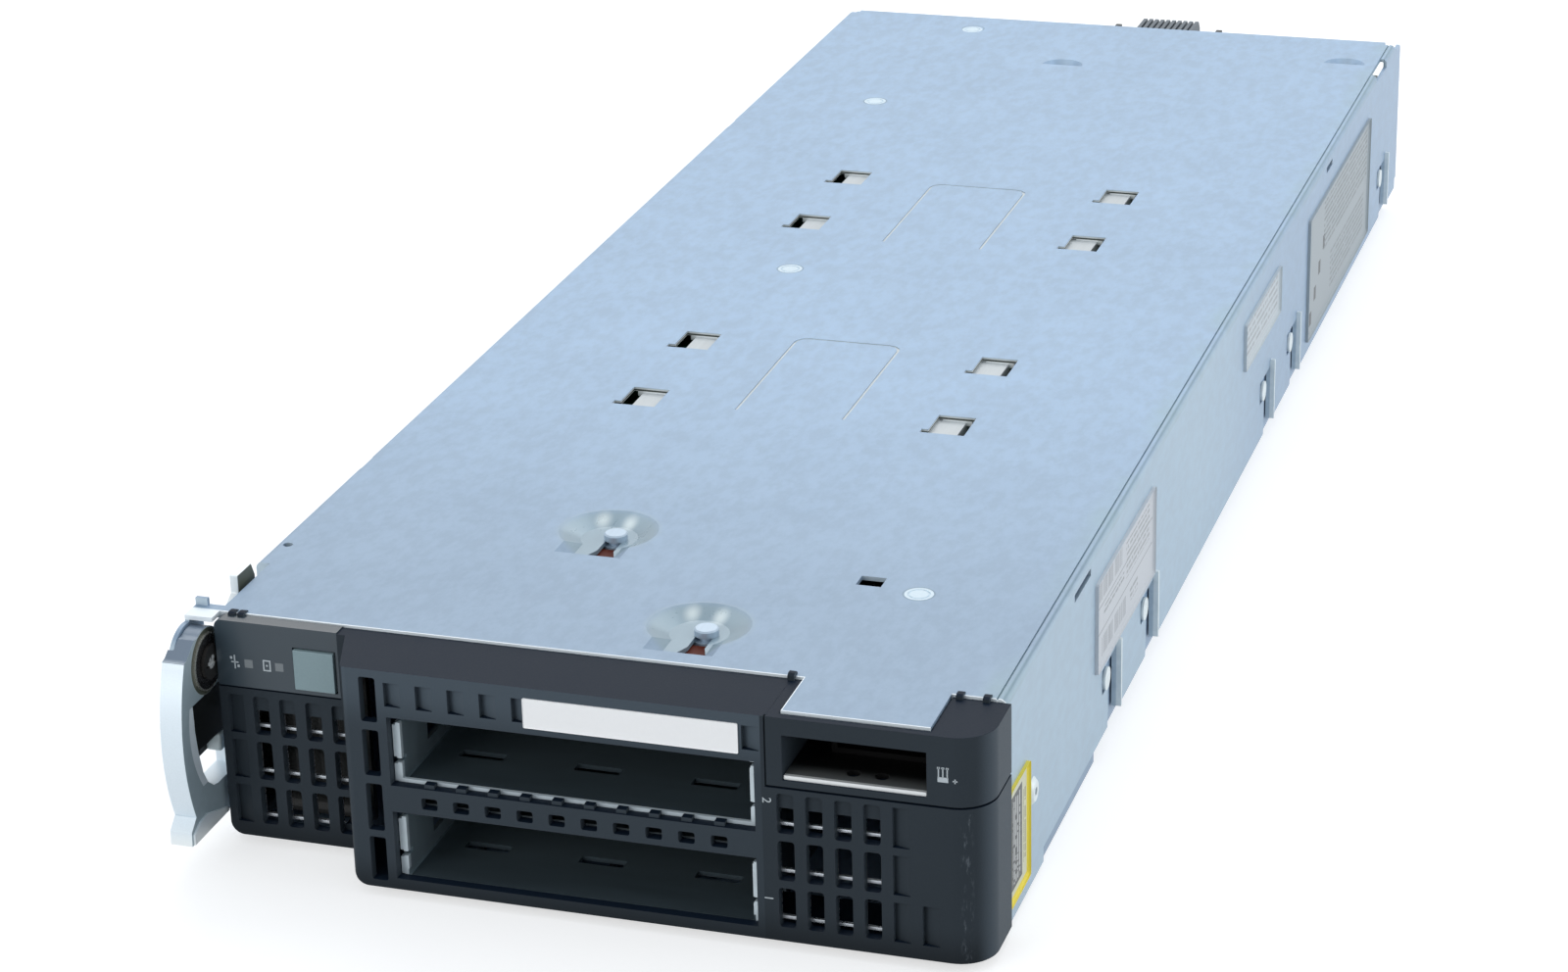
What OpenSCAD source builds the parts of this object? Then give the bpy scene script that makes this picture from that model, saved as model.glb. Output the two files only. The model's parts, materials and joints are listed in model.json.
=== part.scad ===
/* [Chassis] */
// Width across the outer faces of the two side walls
body_w = 176.6; // [172:0.2:184]
// Length of the top sheet from its front edge to its rear edge
body_len = 482.8; // [476:0.2:492]
// Height of the top sheet's upper face above the surface the blade lies on
body_h = 53.5; // [52.6:0.1:55.5]
// Distance from the origin to the top sheet's front edge
front_reach = 231.8; // [229:0.2:235]
// Thickness of the galvanised sheet
sheet_t = 1.0; // [0.8:0.1:1.2]
// Outer radius of the bends along the long edges
bend_r = 1.4; // [1.2:0.1:3]
// Height of the side walls' lower edges near the front
wall_foot = 1.0; // [0.6:0.1:2]
// Step up of the lower edges behind the front part
foot_step = 3.4; // [2.6:0.1:4]
// Length of the side walls behind the top sheet
wall_tail = 8.5; // [6:0.5:11]

/* [Access panel] */
// Gap between the access panel's flanges and the side walls
panel_gap = 0.4; // [0.3:0.05:0.6]
// Height of the access panel's side flanges
panel_flange = 23; // [20:0.5:25]
// Outer radius of the bends along the access panel's edges
panel_bend_r = 3.4; // [2.6:0.1:3.6]
// Distance that the panel slides back to come free
panel_travel = 7.0; // [5:0.5:8]
// Radius of the studs that hold the panel in the walls
hook_r = 2.7; // [2.2:0.1:3]
// Height of those studs above the base
hook_z = 17.8; // [15.5:0.1:18.5]
// Side of the panel's latch button
latch_size = 16; // [12:0.5:20]

/* [Front bezel] */
// Distance that the central bezel stands ahead of the top sheet
nose = 18.2; // [16:0.2:20]
// Distance that the left bezel stands ahead of the top sheet
left_nose = 3.8; // [3:0.1:5]
// Wall thickness of the moulded bezel
bezel_t = 2.2; // [1.8:0.1:2.6]
// Height of the bezel's lower edge
bezel_foot = 2.2; // [1.5:0.1:3]
// Drop of the bezel's top below the top sheet
bezel_drop = 0.5; // [0.3:0.1:0.9]
// Radius of the bezel's right front corner
corner_r = 8; // [5:0.5:10]
// Width of a grille cell
cell_w = 3.6; // [3:0.1:4.2]
// Distance between grille columns
cell_pitch = 6.08; // [5.6:0.02:6.6]
// Height of a grille cell
cell_h = 9.0; // [8:0.1:9.6]
// Distance between grille rows
row_pitch = 10.75; // [10.4:0.05:11.2]
// Height of the line where the upper pieces meet the grilles
seam_z = 37.6; // [37:0.1:38.5]

/* [Drive bays] */
// Width of a drive bay
bay_w = 80; // [77:0.5:81]
// Height of a drive bay
bay_h = 15.8; // [15:0.1:16.2]
// Height of the lower bay's floor
lower_bay_z = 4.8; // [4.4:0.1:5.4]
// Height of the upper bay's floor
upper_bay_z = 26.7; // [26:0.1:27.2]
// Depth of the drive cage
cage_len = 110; // [104:0.5:114]
// Distance between the small openings beside and between the bays
slot_pitch = 7.07; // [6.6:0.01:7.4]

/* [Release lever] */
// Thickness of the lever's handle
lever_t = 5.1; // [4.6:0.1:5.4]
// Height of the lever's pivot
pivot_z = 44.0; // [43:0.1:44.4]
// Distance of the pivot ahead of the top sheet's front edge
pivot_reach = 5.4; // [5:0.1:6]
// Radius of the pivot screw's shoulder
pivot_r = 2.0; // [1.5:0.1:2.4]
// Running clearance round the pivot screw
pivot_fit = 0.06; // [0.03:0.01:0.09]
// Radius of the curved front of the handle
handle_r = 47; // [42:0.5:55]
// Height of the claw above the top sheet
claw_rise = 2.1; // [1.5:0.1:3]

/* [Mainboard] */
// Thickness of the circuit boards
board_t = 1.8; // [1.6:0.1:2.2]
// Distance from the top sheet down to the mainboard
board_gap = 5.5; // [5:0.1:6]
// Distance between the two processors along the blade
cpu_pitch = 135; // [130:0.5:138]
// Distance of the front processor ahead of the origin
cpu_front = 71; // [68:0.5:74]
// Distance between memory sockets
dimm_pitch = 8.6; // [8:0.1:8.8]
// Height of a heatsink's fins
fin_h = 26; // [22:0.5:28]
// Distance between heatsink fins
fin_pitch = 3.0; // [2.6:0.1:3.6]

/* [Windows in the top sheet] */
// Width of a window
window_w = 9.2; // [8:0.1:10]
// Length of a window
window_l = 11.6; // [10:0.1:13]
// Distance between the two columns of windows
window_dx = 77; // [74:0.5:80]
// Distance between the two windows beside a processor
window_dy = 40; // [36:0.5:44]

/* [Rear connectors] */
// Distance that the signal connector reaches behind the top sheet
plug_reach = 16.6; // [14:0.1:18]
// Distance between the signal connector's wafers
wafer_pitch = 1.85; // [1.7:0.01:2]
// Number of wafers
wafer_n = 10; // [8:1:12]

/* [Hidden] */
$fn = 48;

// Clearance between pieces that move past each other
gap = 0.3;
// Amount by which a cutting shape runs past the face that it cuts
over = 0.5;

half_w = body_w / 2;
front_y = -front_reach;
rear_y = front_y + body_len;
sheet_z = body_h - sheet_t;
wall_in = half_w - sheet_t;

// Front bezel outline
nose_y = front_y - nose;
left_y = front_y - left_nose;
bezel_top = body_h - bezel_drop;
bezel_right = half_w + 1.1;
bezel_left = -(half_w - 3.7);

// Drive bays, which sit half a millimetre right of the middle
bay_x = [0.5 - bay_w / 2, 0.5 + bay_w / 2];
lower_bay = [lower_bay_z, lower_bay_z + bay_h];
upper_bay = [upper_bay_z, upper_bay_z + bay_h];
nose_left = bay_x[0] - 9.7;
nose_right = bay_x[1] + 2.3;
flank_x = nose_left - 5.0;
led_right = nose_left - 7.0;
cage_t = 1.0;
cage_front = nose_y + bezel_t + gap;
cage_rear = cage_front + cage_len;
cage_top = upper_bay[1] + cage_t;

// Lever
lever_x = [-(half_w + 3.0), -(half_w + 3.0) + lever_t];
ear_t = 1.0;
hub_x = lever_x[0] + ear_t + gap;
claw_t = 2.0;
pivot_y = front_y - pivot_reach;
pivot = [pivot_y, pivot_z];
hub_r = 7.6;
clear_r = 9.0;
recess_x = -(half_w - 3.4);
recess_y = front_y + 25.8;
lap_y = [front_y + 0.8, front_y + 9.8];

// Mainboard stack, hanging from the top sheet
board_z = sheet_z - board_gap - board_t;
board_x = wall_in - 2.3;
board_front = cage_rear + 6;
board_rear = rear_y - 11;
cpu_y = [-cpu_front, cpu_pitch - cpu_front];
socket_h = 5;
lid_h = 2.2;
base_h = 4;
heatsink_top = board_z - socket_h - lid_h;
dimm_x = wall_in - 35.3;
heatsink_x = dimm_x - 6;
dimm_socket_l = 142;
dimm_y = [board_front + 2 + dimm_socket_l / 2, board_front + 4 + dimm_socket_l * 3 / 2];
// Zone of the mainboard behind the memory, from its front to its rear
zone_y = dimm_y[1] + dimm_socket_l / 2;
zone_l = board_rear - zone_y;

// Row and column origins of the grilles
row_z = [for (i = [0:2]) bezel_foot + 3.3 + i * row_pitch];
right_cols = [for (i = [0:3]) nose_right + 2.3 + i * cell_pitch];
left_cols = [for (i = [0:3]) bezel_left + 7.7 + i * cell_pitch];
blind_x = right_cols[3] + cell_pitch;
hook_y = [front_y + 88, front_y + 126.8, rear_y - 212, rear_y - 174, rear_y - 26];

// ---- shape helpers ----

// Block given by its ranges along X, Y and Z
module block(x, y, z) {
    translate([x[0], y[0], z[0]]) cube([x[1] - x[0], y[1] - y[0], z[1] - z[0]]);
}

// Extrudes a profile drawn in X and Z along Y
module along_y(y) {
    translate([0, y[1], 0]) rotate([90, 0, 0]) linear_extrude(height = y[1] - y[0]) children();
}

// Extrudes a profile drawn in Y and Z along X
module along_x(x) {
    translate([x[0], 0, 0]) rotate([90, 0, 90]) linear_extrude(height = x[1] - x[0]) children();
}

// Rod along X
module rod_x(x, at, r) {
    translate([x[0], at[0], at[1]]) rotate([0, 90, 0]) cylinder(r = r, h = x[1] - x[0]);
}

// Rectangle given by its ranges
module rect(a, b) {
    translate([a[0], b[0]]) square([a[1] - a[0], b[1] - b[0]]);
}

// Rectangle with all four corners rounded by true arcs
module round_rect(a, b, r) {
    rect([a[0] + r, a[1] - r], b);
    rect(a, [b[0] + r, b[1] - r]);
    for (x = [a[0] + r, a[1] - r], z = [b[0] + r, b[1] - r]) translate([x, z]) circle(r = r);
}

// Removes the sharp edge along Y at a point in X and Z, towards the side of the stock
module round_off(at, side, r, y) {
    mid = [at[0] + side[0] * r, at[1] + side[1] * r];
    far = [at[0] - side[0] * over, at[1] - side[1] * over];
    difference() {
        block([min(mid[0], far[0]), max(mid[0], far[0])], y, [min(mid[1], far[1]), max(mid[1], far[1])]);
        translate([mid[0], y[1] + over, mid[1]]) rotate([90, 0, 0]) cylinder(r = r, h = y[1] - y[0] + 2 * over);
    }
}

// Points of a rectangle whose corners are rounded in three steps
function soft_rect(a, b, r) = [for (c = [[1, 1, 0], [0, 1, 90], [0, 0, 180], [1, 0, 270]], i = [0:3]) [
    (c[0] == 1 ? a[1] - r : a[0] + r) + r * cos(c[2] + 30 * i),
    (c[1] == 1 ? b[1] - r : b[0] + r) + r * sin(c[2] + 30 * i)]];

// Opening with rounded corners, cut through along Y
module soft_hole(x, y, z, r = 0.7) {
    along_y(y) polygon(soft_rect(x, z, r));
}

// Section of a channel that is open below, with bent upper edges
module channel_2d(half, foot, top, r) {
    rect([-half, half], [foot, top - r]);
    rect([r - half, half - r], [top - r, top]);
    for (s = [-1, 1]) translate([s * (half - r), top - r]) circle(r = r);
}

// Copies on both sides of the middle plane
module both_sides() {
    children();
    mirror([1, 0, 0]) children();
}

// ---- chassis ----

// Centres of the two studs that hang the drive cage in the top sheet
stud_at = [[-17.3, front_y + 61.8], [18.4, front_y + 18.8 + 0.2]];
dish_r = [6.4, 11.2];
dish_depth = 2.0;
keyhole_len = 14.2;
dish_shift = 1.6;
tongue_x = [nose_right + 3, half_w - 11.4];
tongue_y = nose_y + 2.3;
rivet_at = [[-44, rear_y - 13.9], [-52.4, cpu_y[1] + 91.8], [-32, cpu_y[1] - 57.9], [57.3, front_y + 45.6]];
rivet_r = 3.2;
small_window = [[42.8, 48.4], [front_y + 47, front_y + 51.8]];
boss_at = [front_y + 21, 22.8];

// Pressed dish round a stud, grown downwards by a sheet thickness for its outer skin
module dish(skin) {
    grow = skin ? 0.8 : 0;
    low = sheet_z + sheet_t - dish_depth - (skin ? sheet_t : 0);
    high = skin ? sheet_z : body_h + over;
    lip = dish_r[1] + (dish_r[1] - dish_r[0]) * (high - body_h) / dish_depth;
    for (q = stud_at) {
        p = [q[0] - dish_shift, q[1]];
        translate([p[0], p[1], low]) cylinder(r1 = dish_r[0] + grow, r2 = (skin ? dish_r[1] : lip) + grow, h = high - low);
        along_y([p[1] - keyhole_len, p[1]]) polygon([
            [p[0] - 4.6 - grow, low], [p[0] + 4.6 + grow, low],
            [p[0] + 8.4 + grow, high], [p[0] - 8.4 - grow, high]]);
    }
}

// Keyhole for one stud, wide in front and narrow behind
module keyhole(p) {
    low = sheet_z - dish_depth - over;
    front = p[1] - keyhole_len + 0.4;
    translate([0, 0, low]) linear_extrude(height = body_h - low) polygon([
        [p[0] - 2.6, front], [p[0] + 2.6, front], [p[0] + 3.3, front + 0.8], [p[0] + 3.3, front + 3.2],
        [p[0] + 1.9, front + 6.8], [p[0] + 1.9, p[1]], [p[0] - 1.9, p[1]], [p[0] - 1.9, front + 6.8],
        [p[0] - 3.3, front + 3.2], [p[0] - 3.3, front + 0.8]]);
    translate([p[0], p[1], low]) cylinder(r = 1.9, h = body_h - low);
}

// Cuts for one slot that takes a stud of the access panel, open at the wall's lower edge
module hook_slot(y) {
    entry = [y + hook_r + gap, y + panel_travel + hook_r + gap + 0.5];
    lift = [hook_z - hook_r - gap, hook_z + hook_r + gap];
    wall = [wall_in - over, half_w + over];
    block(wall, [y - hook_r - gap, entry[1]], lift);
    block(wall, entry, [wall_foot - over, lift[1]]);
    along_x(wall) polygon([
        [entry[0] - 0.3, wall_foot - over], [entry[0] - 0.3, wall_foot + foot_step + 3.6],
        [entry[1] + 5.5, wall_foot + foot_step], [entry[1] + 5.5, wall_foot - over]]);
}

// Flange bent outwards beside one hook slot
module hook_flange(y) {
    rear = y + panel_travel + hook_r + gap + 0.5;
    block([wall_in, half_w + 1.3], [rear, rear + sheet_t], [wall_foot + foot_step + 1.6, hook_z + 5]);
}

// Rear part of a side wall, standing past the top sheet, with a rounded upper corner
module wall_end() {
    top = sheet_z - bend_r;
    along_x([wall_in, half_w]) union() {
        rect([rear_y - 1, rear_y + wall_tail - 2], [wall_foot + foot_step, top]);
        rect([rear_y - 1, rear_y + wall_tail], [wall_foot + foot_step + 3, top - 2]);
        translate([rear_y + wall_tail - 2, top - 2]) circle(r = 2);
    }
}

// Windows beside the processors, each with a tab bent down at its rear edge
module window_cuts() {
    for (s = [-1, 1], c = cpu_y, d = [-1, 1]) {
        x = s * window_dx / 2;
        y = c + d * window_dy / 2;
        block([x - window_w / 2, x + window_w / 2], [y - window_l / 2, y + window_l / 2], [sheet_z - over, body_h + over]);
        block([x - window_w / 2 - 1.6, x], [y - window_l / 2, y - window_l / 2 + 2], [sheet_z - over, body_h + over]);
    }
}

module window_tabs() {
    for (s = [-1, 1], c = cpu_y, d = [-1, 1]) {
        x = s * window_dx / 2;
        y = c + d * window_dy / 2 + window_l / 2;
        block([x - window_w / 2 + 1, x + window_w / 2 - 1], [y - 0.2, y + sheet_t], [sheet_z - 1.2, sheet_z + 0.2]);
    }
}

// Shallow U-shaped marks with rounded corners, pressed in over the processors
module press_marks() {
    depth = 0.25;
    line = 0.7;
    mark_x = [-14.6, 12.9];
    for (rear = [cpu_y[0] + 28.3, cpu_y[1] + 19.9]) intersection() {
        difference() {
            translate([0, 0, body_h - depth]) linear_extrude(height = 1) polygon(soft_rect(mark_x, [rear - 60, rear], 3.5));
            translate([0, 0, body_h - 1]) linear_extrude(height = 3)
                polygon(soft_rect([mark_x[0] + line, mark_x[1] - line], [rear - 60, rear - line], 2.8));
        }
        block([mark_x[0] - 1, mark_x[1] + 1], [rear - 51, rear + 1], [body_h - 1, body_h + 2]);
    }
}

// Half-round louvre near the rear, lanced along its front edge
module louvre(at, skin) {
    r = 6.4;
    depth = 1.6;
    low = body_h - depth - (skin ? sheet_t : 0);
    high = skin ? sheet_z : body_h + over;
    intersection() {
        translate([at[0], at[1], low]) cylinder(r1 = r - 2 + (skin ? 0.8 : 0), r2 = r + (skin ? 0.8 : 0.4), h = high - low);
        block([at[0] - 9, at[0] + 9], [at[1], at[1] + 9], [low - 1, high + 1]);
    }
}

louvre_at = [[-7, rear_y - 46], [76.5, rear_y - 26]];

module chassis_tray() color("lightsteelblue") {
    difference() {
        union() {
            difference() {
                along_y([front_y, rear_y]) channel_2d(half_w, wall_foot, body_h, bend_r);
                along_y([front_y - over, rear_y + over]) channel_2d(wall_in, wall_foot - over, sheet_z, bend_r - sheet_t);
            }
            dish(true);
            for (p = louvre_at) louvre(p, true);
            both_sides() wall_end();
            block(tongue_x, [tongue_y, front_y + over], [sheet_z, body_h]);
        }
        dish(false);
        for (p = louvre_at) louvre(p, false);
        for (p = stud_at) keyhole(p);
        window_cuts();
        press_marks();
        for (p = rivet_at) translate([p[0], p[1], sheet_z - over]) cylinder(r = rivet_r, h = sheet_t + 2 * over);
        block(small_window[0], small_window[1], [sheet_z - over, body_h + over]);
        // recess for the claw in the left front corner
        block([-half_w - over, recess_x], [front_y - over, recess_y], [wall_foot - over, body_h + over]);
        // lower edges step up behind the front part
        block([-half_w - over, half_w + over], [front_y + 31, rear_y + wall_tail + over], [wall_foot - over, wall_foot + foot_step]);
        both_sides() for (y = hook_y) hook_slot(y);
        // slots in the right-hand bend
        for (y = [[front_y + 58.3, front_y + 73.3], [front_y + 362, front_y + 371]])
            block([half_w - 1.6, half_w + over], y, [body_h - 4.2, body_h - 2.4]);
        block([half_w - 2, half_w + over], [rear_y - 36, rear_y - 18], [body_h - 2.6, body_h + over]);
        // relief notches in the left edge
        for (y = [front_y + 82, front_y + 354]) block([-half_w - over, 0.9 - half_w], [y, y + 8], [sheet_z - 3, body_h + over]);
        // line pressed along the right edge
        block([half_w - bend_r - 0.7, half_w - bend_r - 0.3], [front_y - over, rear_y + over], [body_h - 0.3, body_h + over]);
        // chamfered rear corners of the top sheet
        both_sides() block([half_w - 3.4, half_w + over], [rear_y - 2.5, rear_y + over], [body_h - bend_r, body_h + over]);
        // hole in the boss of the right wall, and one near the left edge
        rod_x([half_w - 2, half_w + 2], boss_at, 0.9);
        translate([2.9 - half_w, front_y + 36.4, sheet_z - over]) cylinder(r = 1.1, h = sheet_t + 2 * over);
    }
    window_tabs();
    both_sides() for (y = hook_y) hook_flange(y);
    // inner side of the recess and the step that closes it
    difference() {
        block([recess_x, recess_x + sheet_t], [front_y, recess_y + sheet_t], [wall_foot, sheet_z]);
        block([recess_x - over, recess_x + 2], lap_y, [sheet_z - sheet_t, sheet_z + over]);
    }
    block([-half_w + sheet_t, recess_x + sheet_t], [recess_y, recess_y + sheet_t], [wall_foot + foot_step, sheet_z]);
    // raised boss with its hole
    difference() {
        translate([half_w - 0.2, boss_at[0], boss_at[1]]) rotate([0, 90, 0]) cylinder(r1 = 3.4, r2 = 2.2, h = 1.1);
        rod_x([half_w - 2, half_w + 2], boss_at, 0.9);
    }
}

pan_rear = front_y + 81.3;

module front_pan() color("lightsteelblue") {
    block([recess_x + sheet_t, wall_in], [front_y + 0.8, recess_y], [0, sheet_t]);
    block([-wall_in, wall_in], [recess_y + sheet_t, pan_rear], [0, sheet_t]);
    block([recess_x + sheet_t, wall_in], [recess_y - over, recess_y + sheet_t + over], [0, sheet_t]);
    flange = [sheet_t - over, panel_flange];
    block([wall_in - sheet_t, wall_in], [front_y + 0.8, pan_rear], [0, panel_flange]);
    block([-wall_in, sheet_t - wall_in], [recess_y + sheet_t, pan_rear], [0, panel_flange]);
    block([recess_x + sheet_t, recess_x + 2 * sheet_t], [front_y + 0.8, recess_y], [0, panel_flange]);
}

panel_out = wall_in - panel_gap;
panel_y = [pan_rear + gap, rear_y];
latch_at = [0, panel_y[0] + 31];
latch_gap = 0.4;

module access_panel() color("lightsteelblue") {
    difference() {
        union() {
            translate([0, 0, panel_flange]) mirror([0, 0, 1]) difference() {
                along_y(panel_y) channel_2d(panel_out, 0, panel_flange, panel_bend_r);
                along_y([panel_y[0] - over, panel_y[1] + over])
                    channel_2d(panel_out - sheet_t, -over, panel_flange - sheet_t, panel_bend_r - sheet_t);
            }
            both_sides() for (y = hook_y) rod_x([panel_out - 0.4, half_w + 0.6], [y, hook_z], hook_r);
        }
        // opening for the latch button
        block([latch_at[0] - latch_size / 2, latch_at[0] + latch_size / 2],
              [latch_at[1] - latch_size / 2, latch_at[1] + latch_size / 2], [-over, sheet_t + over]);
        // grip lines beside the latch, for the thumbs
        for (s = [-1, 1], i = [0:4])
            block([s * 52 - 14, s * 52 + 14], [latch_at[1] - 8 + i * 4, latch_at[1] - 6.8 + i * 4], [-over, 0.35]);
    }
    // folded lip along the rear edge
    block([8 - panel_out, panel_out - 8], [rear_y - sheet_t, rear_y], [0, 5]);
    // stiffening ribs on the inner face
    for (x = [-30, 30]) block([x - 2, x + 2], [panel_y[0] + 46, rear_y - 20], [sheet_t, sheet_t + 0.6]);
    // frame that guides the latch button
    difference() {
        block([latch_at[0] - latch_size / 2 - 2, latch_at[0] + latch_size / 2 + 2],
              [latch_at[1] - latch_size / 2 - 2, latch_at[1] + latch_size / 2 + 2], [sheet_t, sheet_t + 4]);
        block([latch_at[0] - latch_size / 2, latch_at[0] + latch_size / 2],
              [latch_at[1] - latch_size / 2, latch_at[1] + latch_size / 2], [0, sheet_t + 5]);
    }
}

module panel_latch_button() color("slategray") {
    half = latch_size / 2 - latch_gap;
    difference() {
        translate([latch_at[0], latch_at[1], 0.2]) linear_extrude(height = 4) round_rect([-half, half], [-half, half], 2);
        for (i = [-2:2]) block([latch_at[0] - 4, latch_at[0] + 4], [latch_at[1] + i * 2 - 0.4, latch_at[1] + i * 2 + 0.4], [0, 0.5]);
    }
}

// ---- front bezel ----

bezel_back = front_y - 0.2;
bezel_floor = 1.3;
suv_x = nose_right + 0.3;
led_foot = seam_z + 0.4;
hole_at = [for (x = [bay_x[0] + 6.7 : slot_pitch : bay_x[1] - 6]) x];
pocket_at = [for (i = [0:11]) bay_x[0] - 0.2 + i * slot_pitch];
strip_rows = [[3.9, 14.1], [15.7, 26.6], [28.5, 39.1], [41.0, 51.2]];
hood_z = row_z[2] + 5.3;

// Left front edge of the nose: rounded outside, sharp inside
function nose_edge(slope, d) = d > 0 ? [[nose_left + slope * d, nose_y + d]] : [
    [nose_left - 0.5, nose_y + 1.45], [nose_left - 0.15, nose_y + 0.6],
    [nose_left + 0.45, nose_y + 0.12], [nose_left + 1.3, nose_y]];

// Plan of everything behind the bezel's front faces, moved in by d
module bezel_plan(d, back) {
    slope = 0.6;
    side = bezel_left + d;
    polygon([
        [side, back], [side, left_y + d], [flank_x + slope * d, left_y + d],
        each nose_edge(slope, d), [bezel_right - corner_r, nose_y + d],
        [bezel_right - corner_r, back]]);
    rect([bezel_right - corner_r - 1, bezel_right - d], [nose_y + corner_r, back]);
    translate([bezel_right - corner_r, nose_y + corner_r]) circle(r = corner_r - d);
}

// Wedge-shaped blind pocket, deep on its left side
module pocket(x, face, z, deep) {
    translate([0, 0, z[0]]) linear_extrude(height = z[1] - z[0]) polygon([
        [x, face - over], [x, face + deep], [x + cell_w, face + 0.2], [x + cell_w, face - over]]);
}

// Open grille columns: three rows, of which the top one is half covered
module grille(cols, face) {
    for (x = cols, i = [0:2]) {
        z = [row_z[i], i == 2 ? hood_z : row_z[i] + cell_h];
        soft_hole([x, x + cell_w], [face - over, face + bezel_t + over], z);
    }
    for (x = cols) soft_hole([x, x + cell_w], [face - over, face + 1.1], [row_z[2], row_z[2] + cell_h]);
}

module front_bezel() color("darkslategray") {
    difference() {
        translate([0, 0, bezel_foot]) linear_extrude(height = bezel_top - bezel_foot) bezel_plan(0, bezel_back);
        translate([0, 0, bezel_foot + bezel_floor])
            linear_extrude(height = bezel_top - bezel_t - bezel_foot - bezel_floor) bezel_plan(bezel_t, bezel_back + over);
        // seats of the indicator panel and of the upper right bezel
        block([bezel_left - over, led_right], [left_y - over, bezel_back + over], [led_foot, body_h]);
        block([suv_x, bezel_right + over], [nose_y - over, bezel_back + over], [seam_z, body_h]);
        // the two bays and the holes between them
        for (z = [lower_bay, upper_bay])
            block([bay_x[0], bay_x[1]], [nose_y - over, nose_y + bezel_t + over], z);
        for (x = hole_at) soft_hole([x, x + cell_w], [nose_y - over, nose_y + bezel_t + over], [lower_bay[1] + 1.4, lower_bay[1] + 4], 0.5);
        // pockets over the bays and beside them
        for (x = pocket_at) pocket(x, nose_y, [upper_bay[1] + 2.5, bezel_top - 2.6], 1.5);
        for (z = strip_rows) soft_hole([nose_left + 4, bay_x[0] - 2], [nose_y - over, nose_y + bezel_t + over], z, 0.5);
        // seams round the two upper pieces
        block([bezel_left - over, led_right], [left_y - over, left_y + 0.7], [led_foot - 0.35, led_foot + over]);
        block([suv_x - 0.35, suv_x + over], [nose_y - over, nose_y + 0.9], [seam_z - 0.45, bezel_top + over]);
        intersection() {
            difference() {
                translate([0, 0, seam_z - 0.45]) linear_extrude(height = 1) bezel_plan(-over, bezel_back);
                translate([0, 0, seam_z - 1]) linear_extrude(height = 2) bezel_plan(0.9, bezel_back + 1);
            }
            block([suv_x - 0.2, bezel_right + 1], [nose_y - 1, bezel_back + over], [seam_z - 1, seam_z + 1]);
        }
        // rounded lower corners of the left bezel and of the nose
        round_off([bezel_left, bezel_foot], [1, 1], 3, [left_y - over, bezel_back + over]);
        translate([nose_left, nose_y, bezel_foot]) rotate([0, 0, atan((nose_left - flank_x) / (left_y - nose_y))])
            round_off([0, 0], [1, 1], 3, [-1, 16]);
        // grilles
        grille(right_cols, nose_y);
        grille(left_cols, left_y);
        for (z = row_z) pocket(bezel_left + 1.9, left_y, [z, z + cell_h], 1.3);
        for (z = row_z) pocket(blind_x, nose_y, [z, z + cell_h], 1.3);
        pocket(blind_x + cell_pitch, nose_y, [row_z[0], row_z[0] + cell_h], 1.3);
    }
    // hooks that stand up behind the holes, along the upper bay's sill
    for (x = hole_at) block([x + 0.7, x + 2.9], [nose_y + 0.5, nose_y + bezel_t], [upper_bay[0] - 0.2, upper_bay[0] + 0.9]);
    // tongues under the top sheet and on the front pan
    for (x = [-33, -3, 35]) {
        block([x - 4, x + 4], [front_y - 3, front_y + 5], [sheet_z - 1.6, sheet_z]);
        block([x - 4, x + 4], [front_y - 1, front_y + 5], [sheet_t, lower_bay[0] - cage_t]);
    }
    // posts that carry the front panel board
    for (x = [bezel_left + 4.3, flank_x - 3])
        translate([x, left_y + bezel_t - 0.2, 5]) rotate([-90, 0, 0]) cylinder(r = 2, h = board_face - left_y - bezel_t + 0.2);
}

// Steel screen right behind the two grilles
module screen_sheet(cols, face) {
    y = [face + bezel_t, face + bezel_t + 0.8];
    x = [cols[0] - 1.8, cols[3] + cell_w + 0.4];
    difference() {
        block(x, y, [bezel_foot + bezel_floor + 0.3, seam_z - 1]);
        for (c = cols, z = row_z) {
            block([c - 0.2, c + cell_w + 0.1], [y[0] - over, y[1] + over], [z - 0.8, z + 0.8]);
            block([c - 0.2, c + cell_w + 0.1], [y[0] - over, y[1] + over], [z + 1.5, z + cell_h - 0.4]);
        }
    }
}

module grille_screen() color("silver") {
    screen_sheet(right_cols, nose_y);
    difference() {
        screen_sheet(left_cols, left_y);
        // cut-outs round the posts of the board
        for (x = [bezel_left + 4.3, flank_x - 3])
            translate([x, left_y, 5]) rotate([-90, 0, 0]) cylinder(r = 2.3, h = 6);
    }
}

suv_open_x = [nose_right + 3.7, nose_right + 33.8];
suv_floor = seam_z + 1.2;
suv_open_z = [seam_z + 1.5, seam_z + 11.5];
suv_sill = suv_open_z[0] + 0.9;

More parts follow.
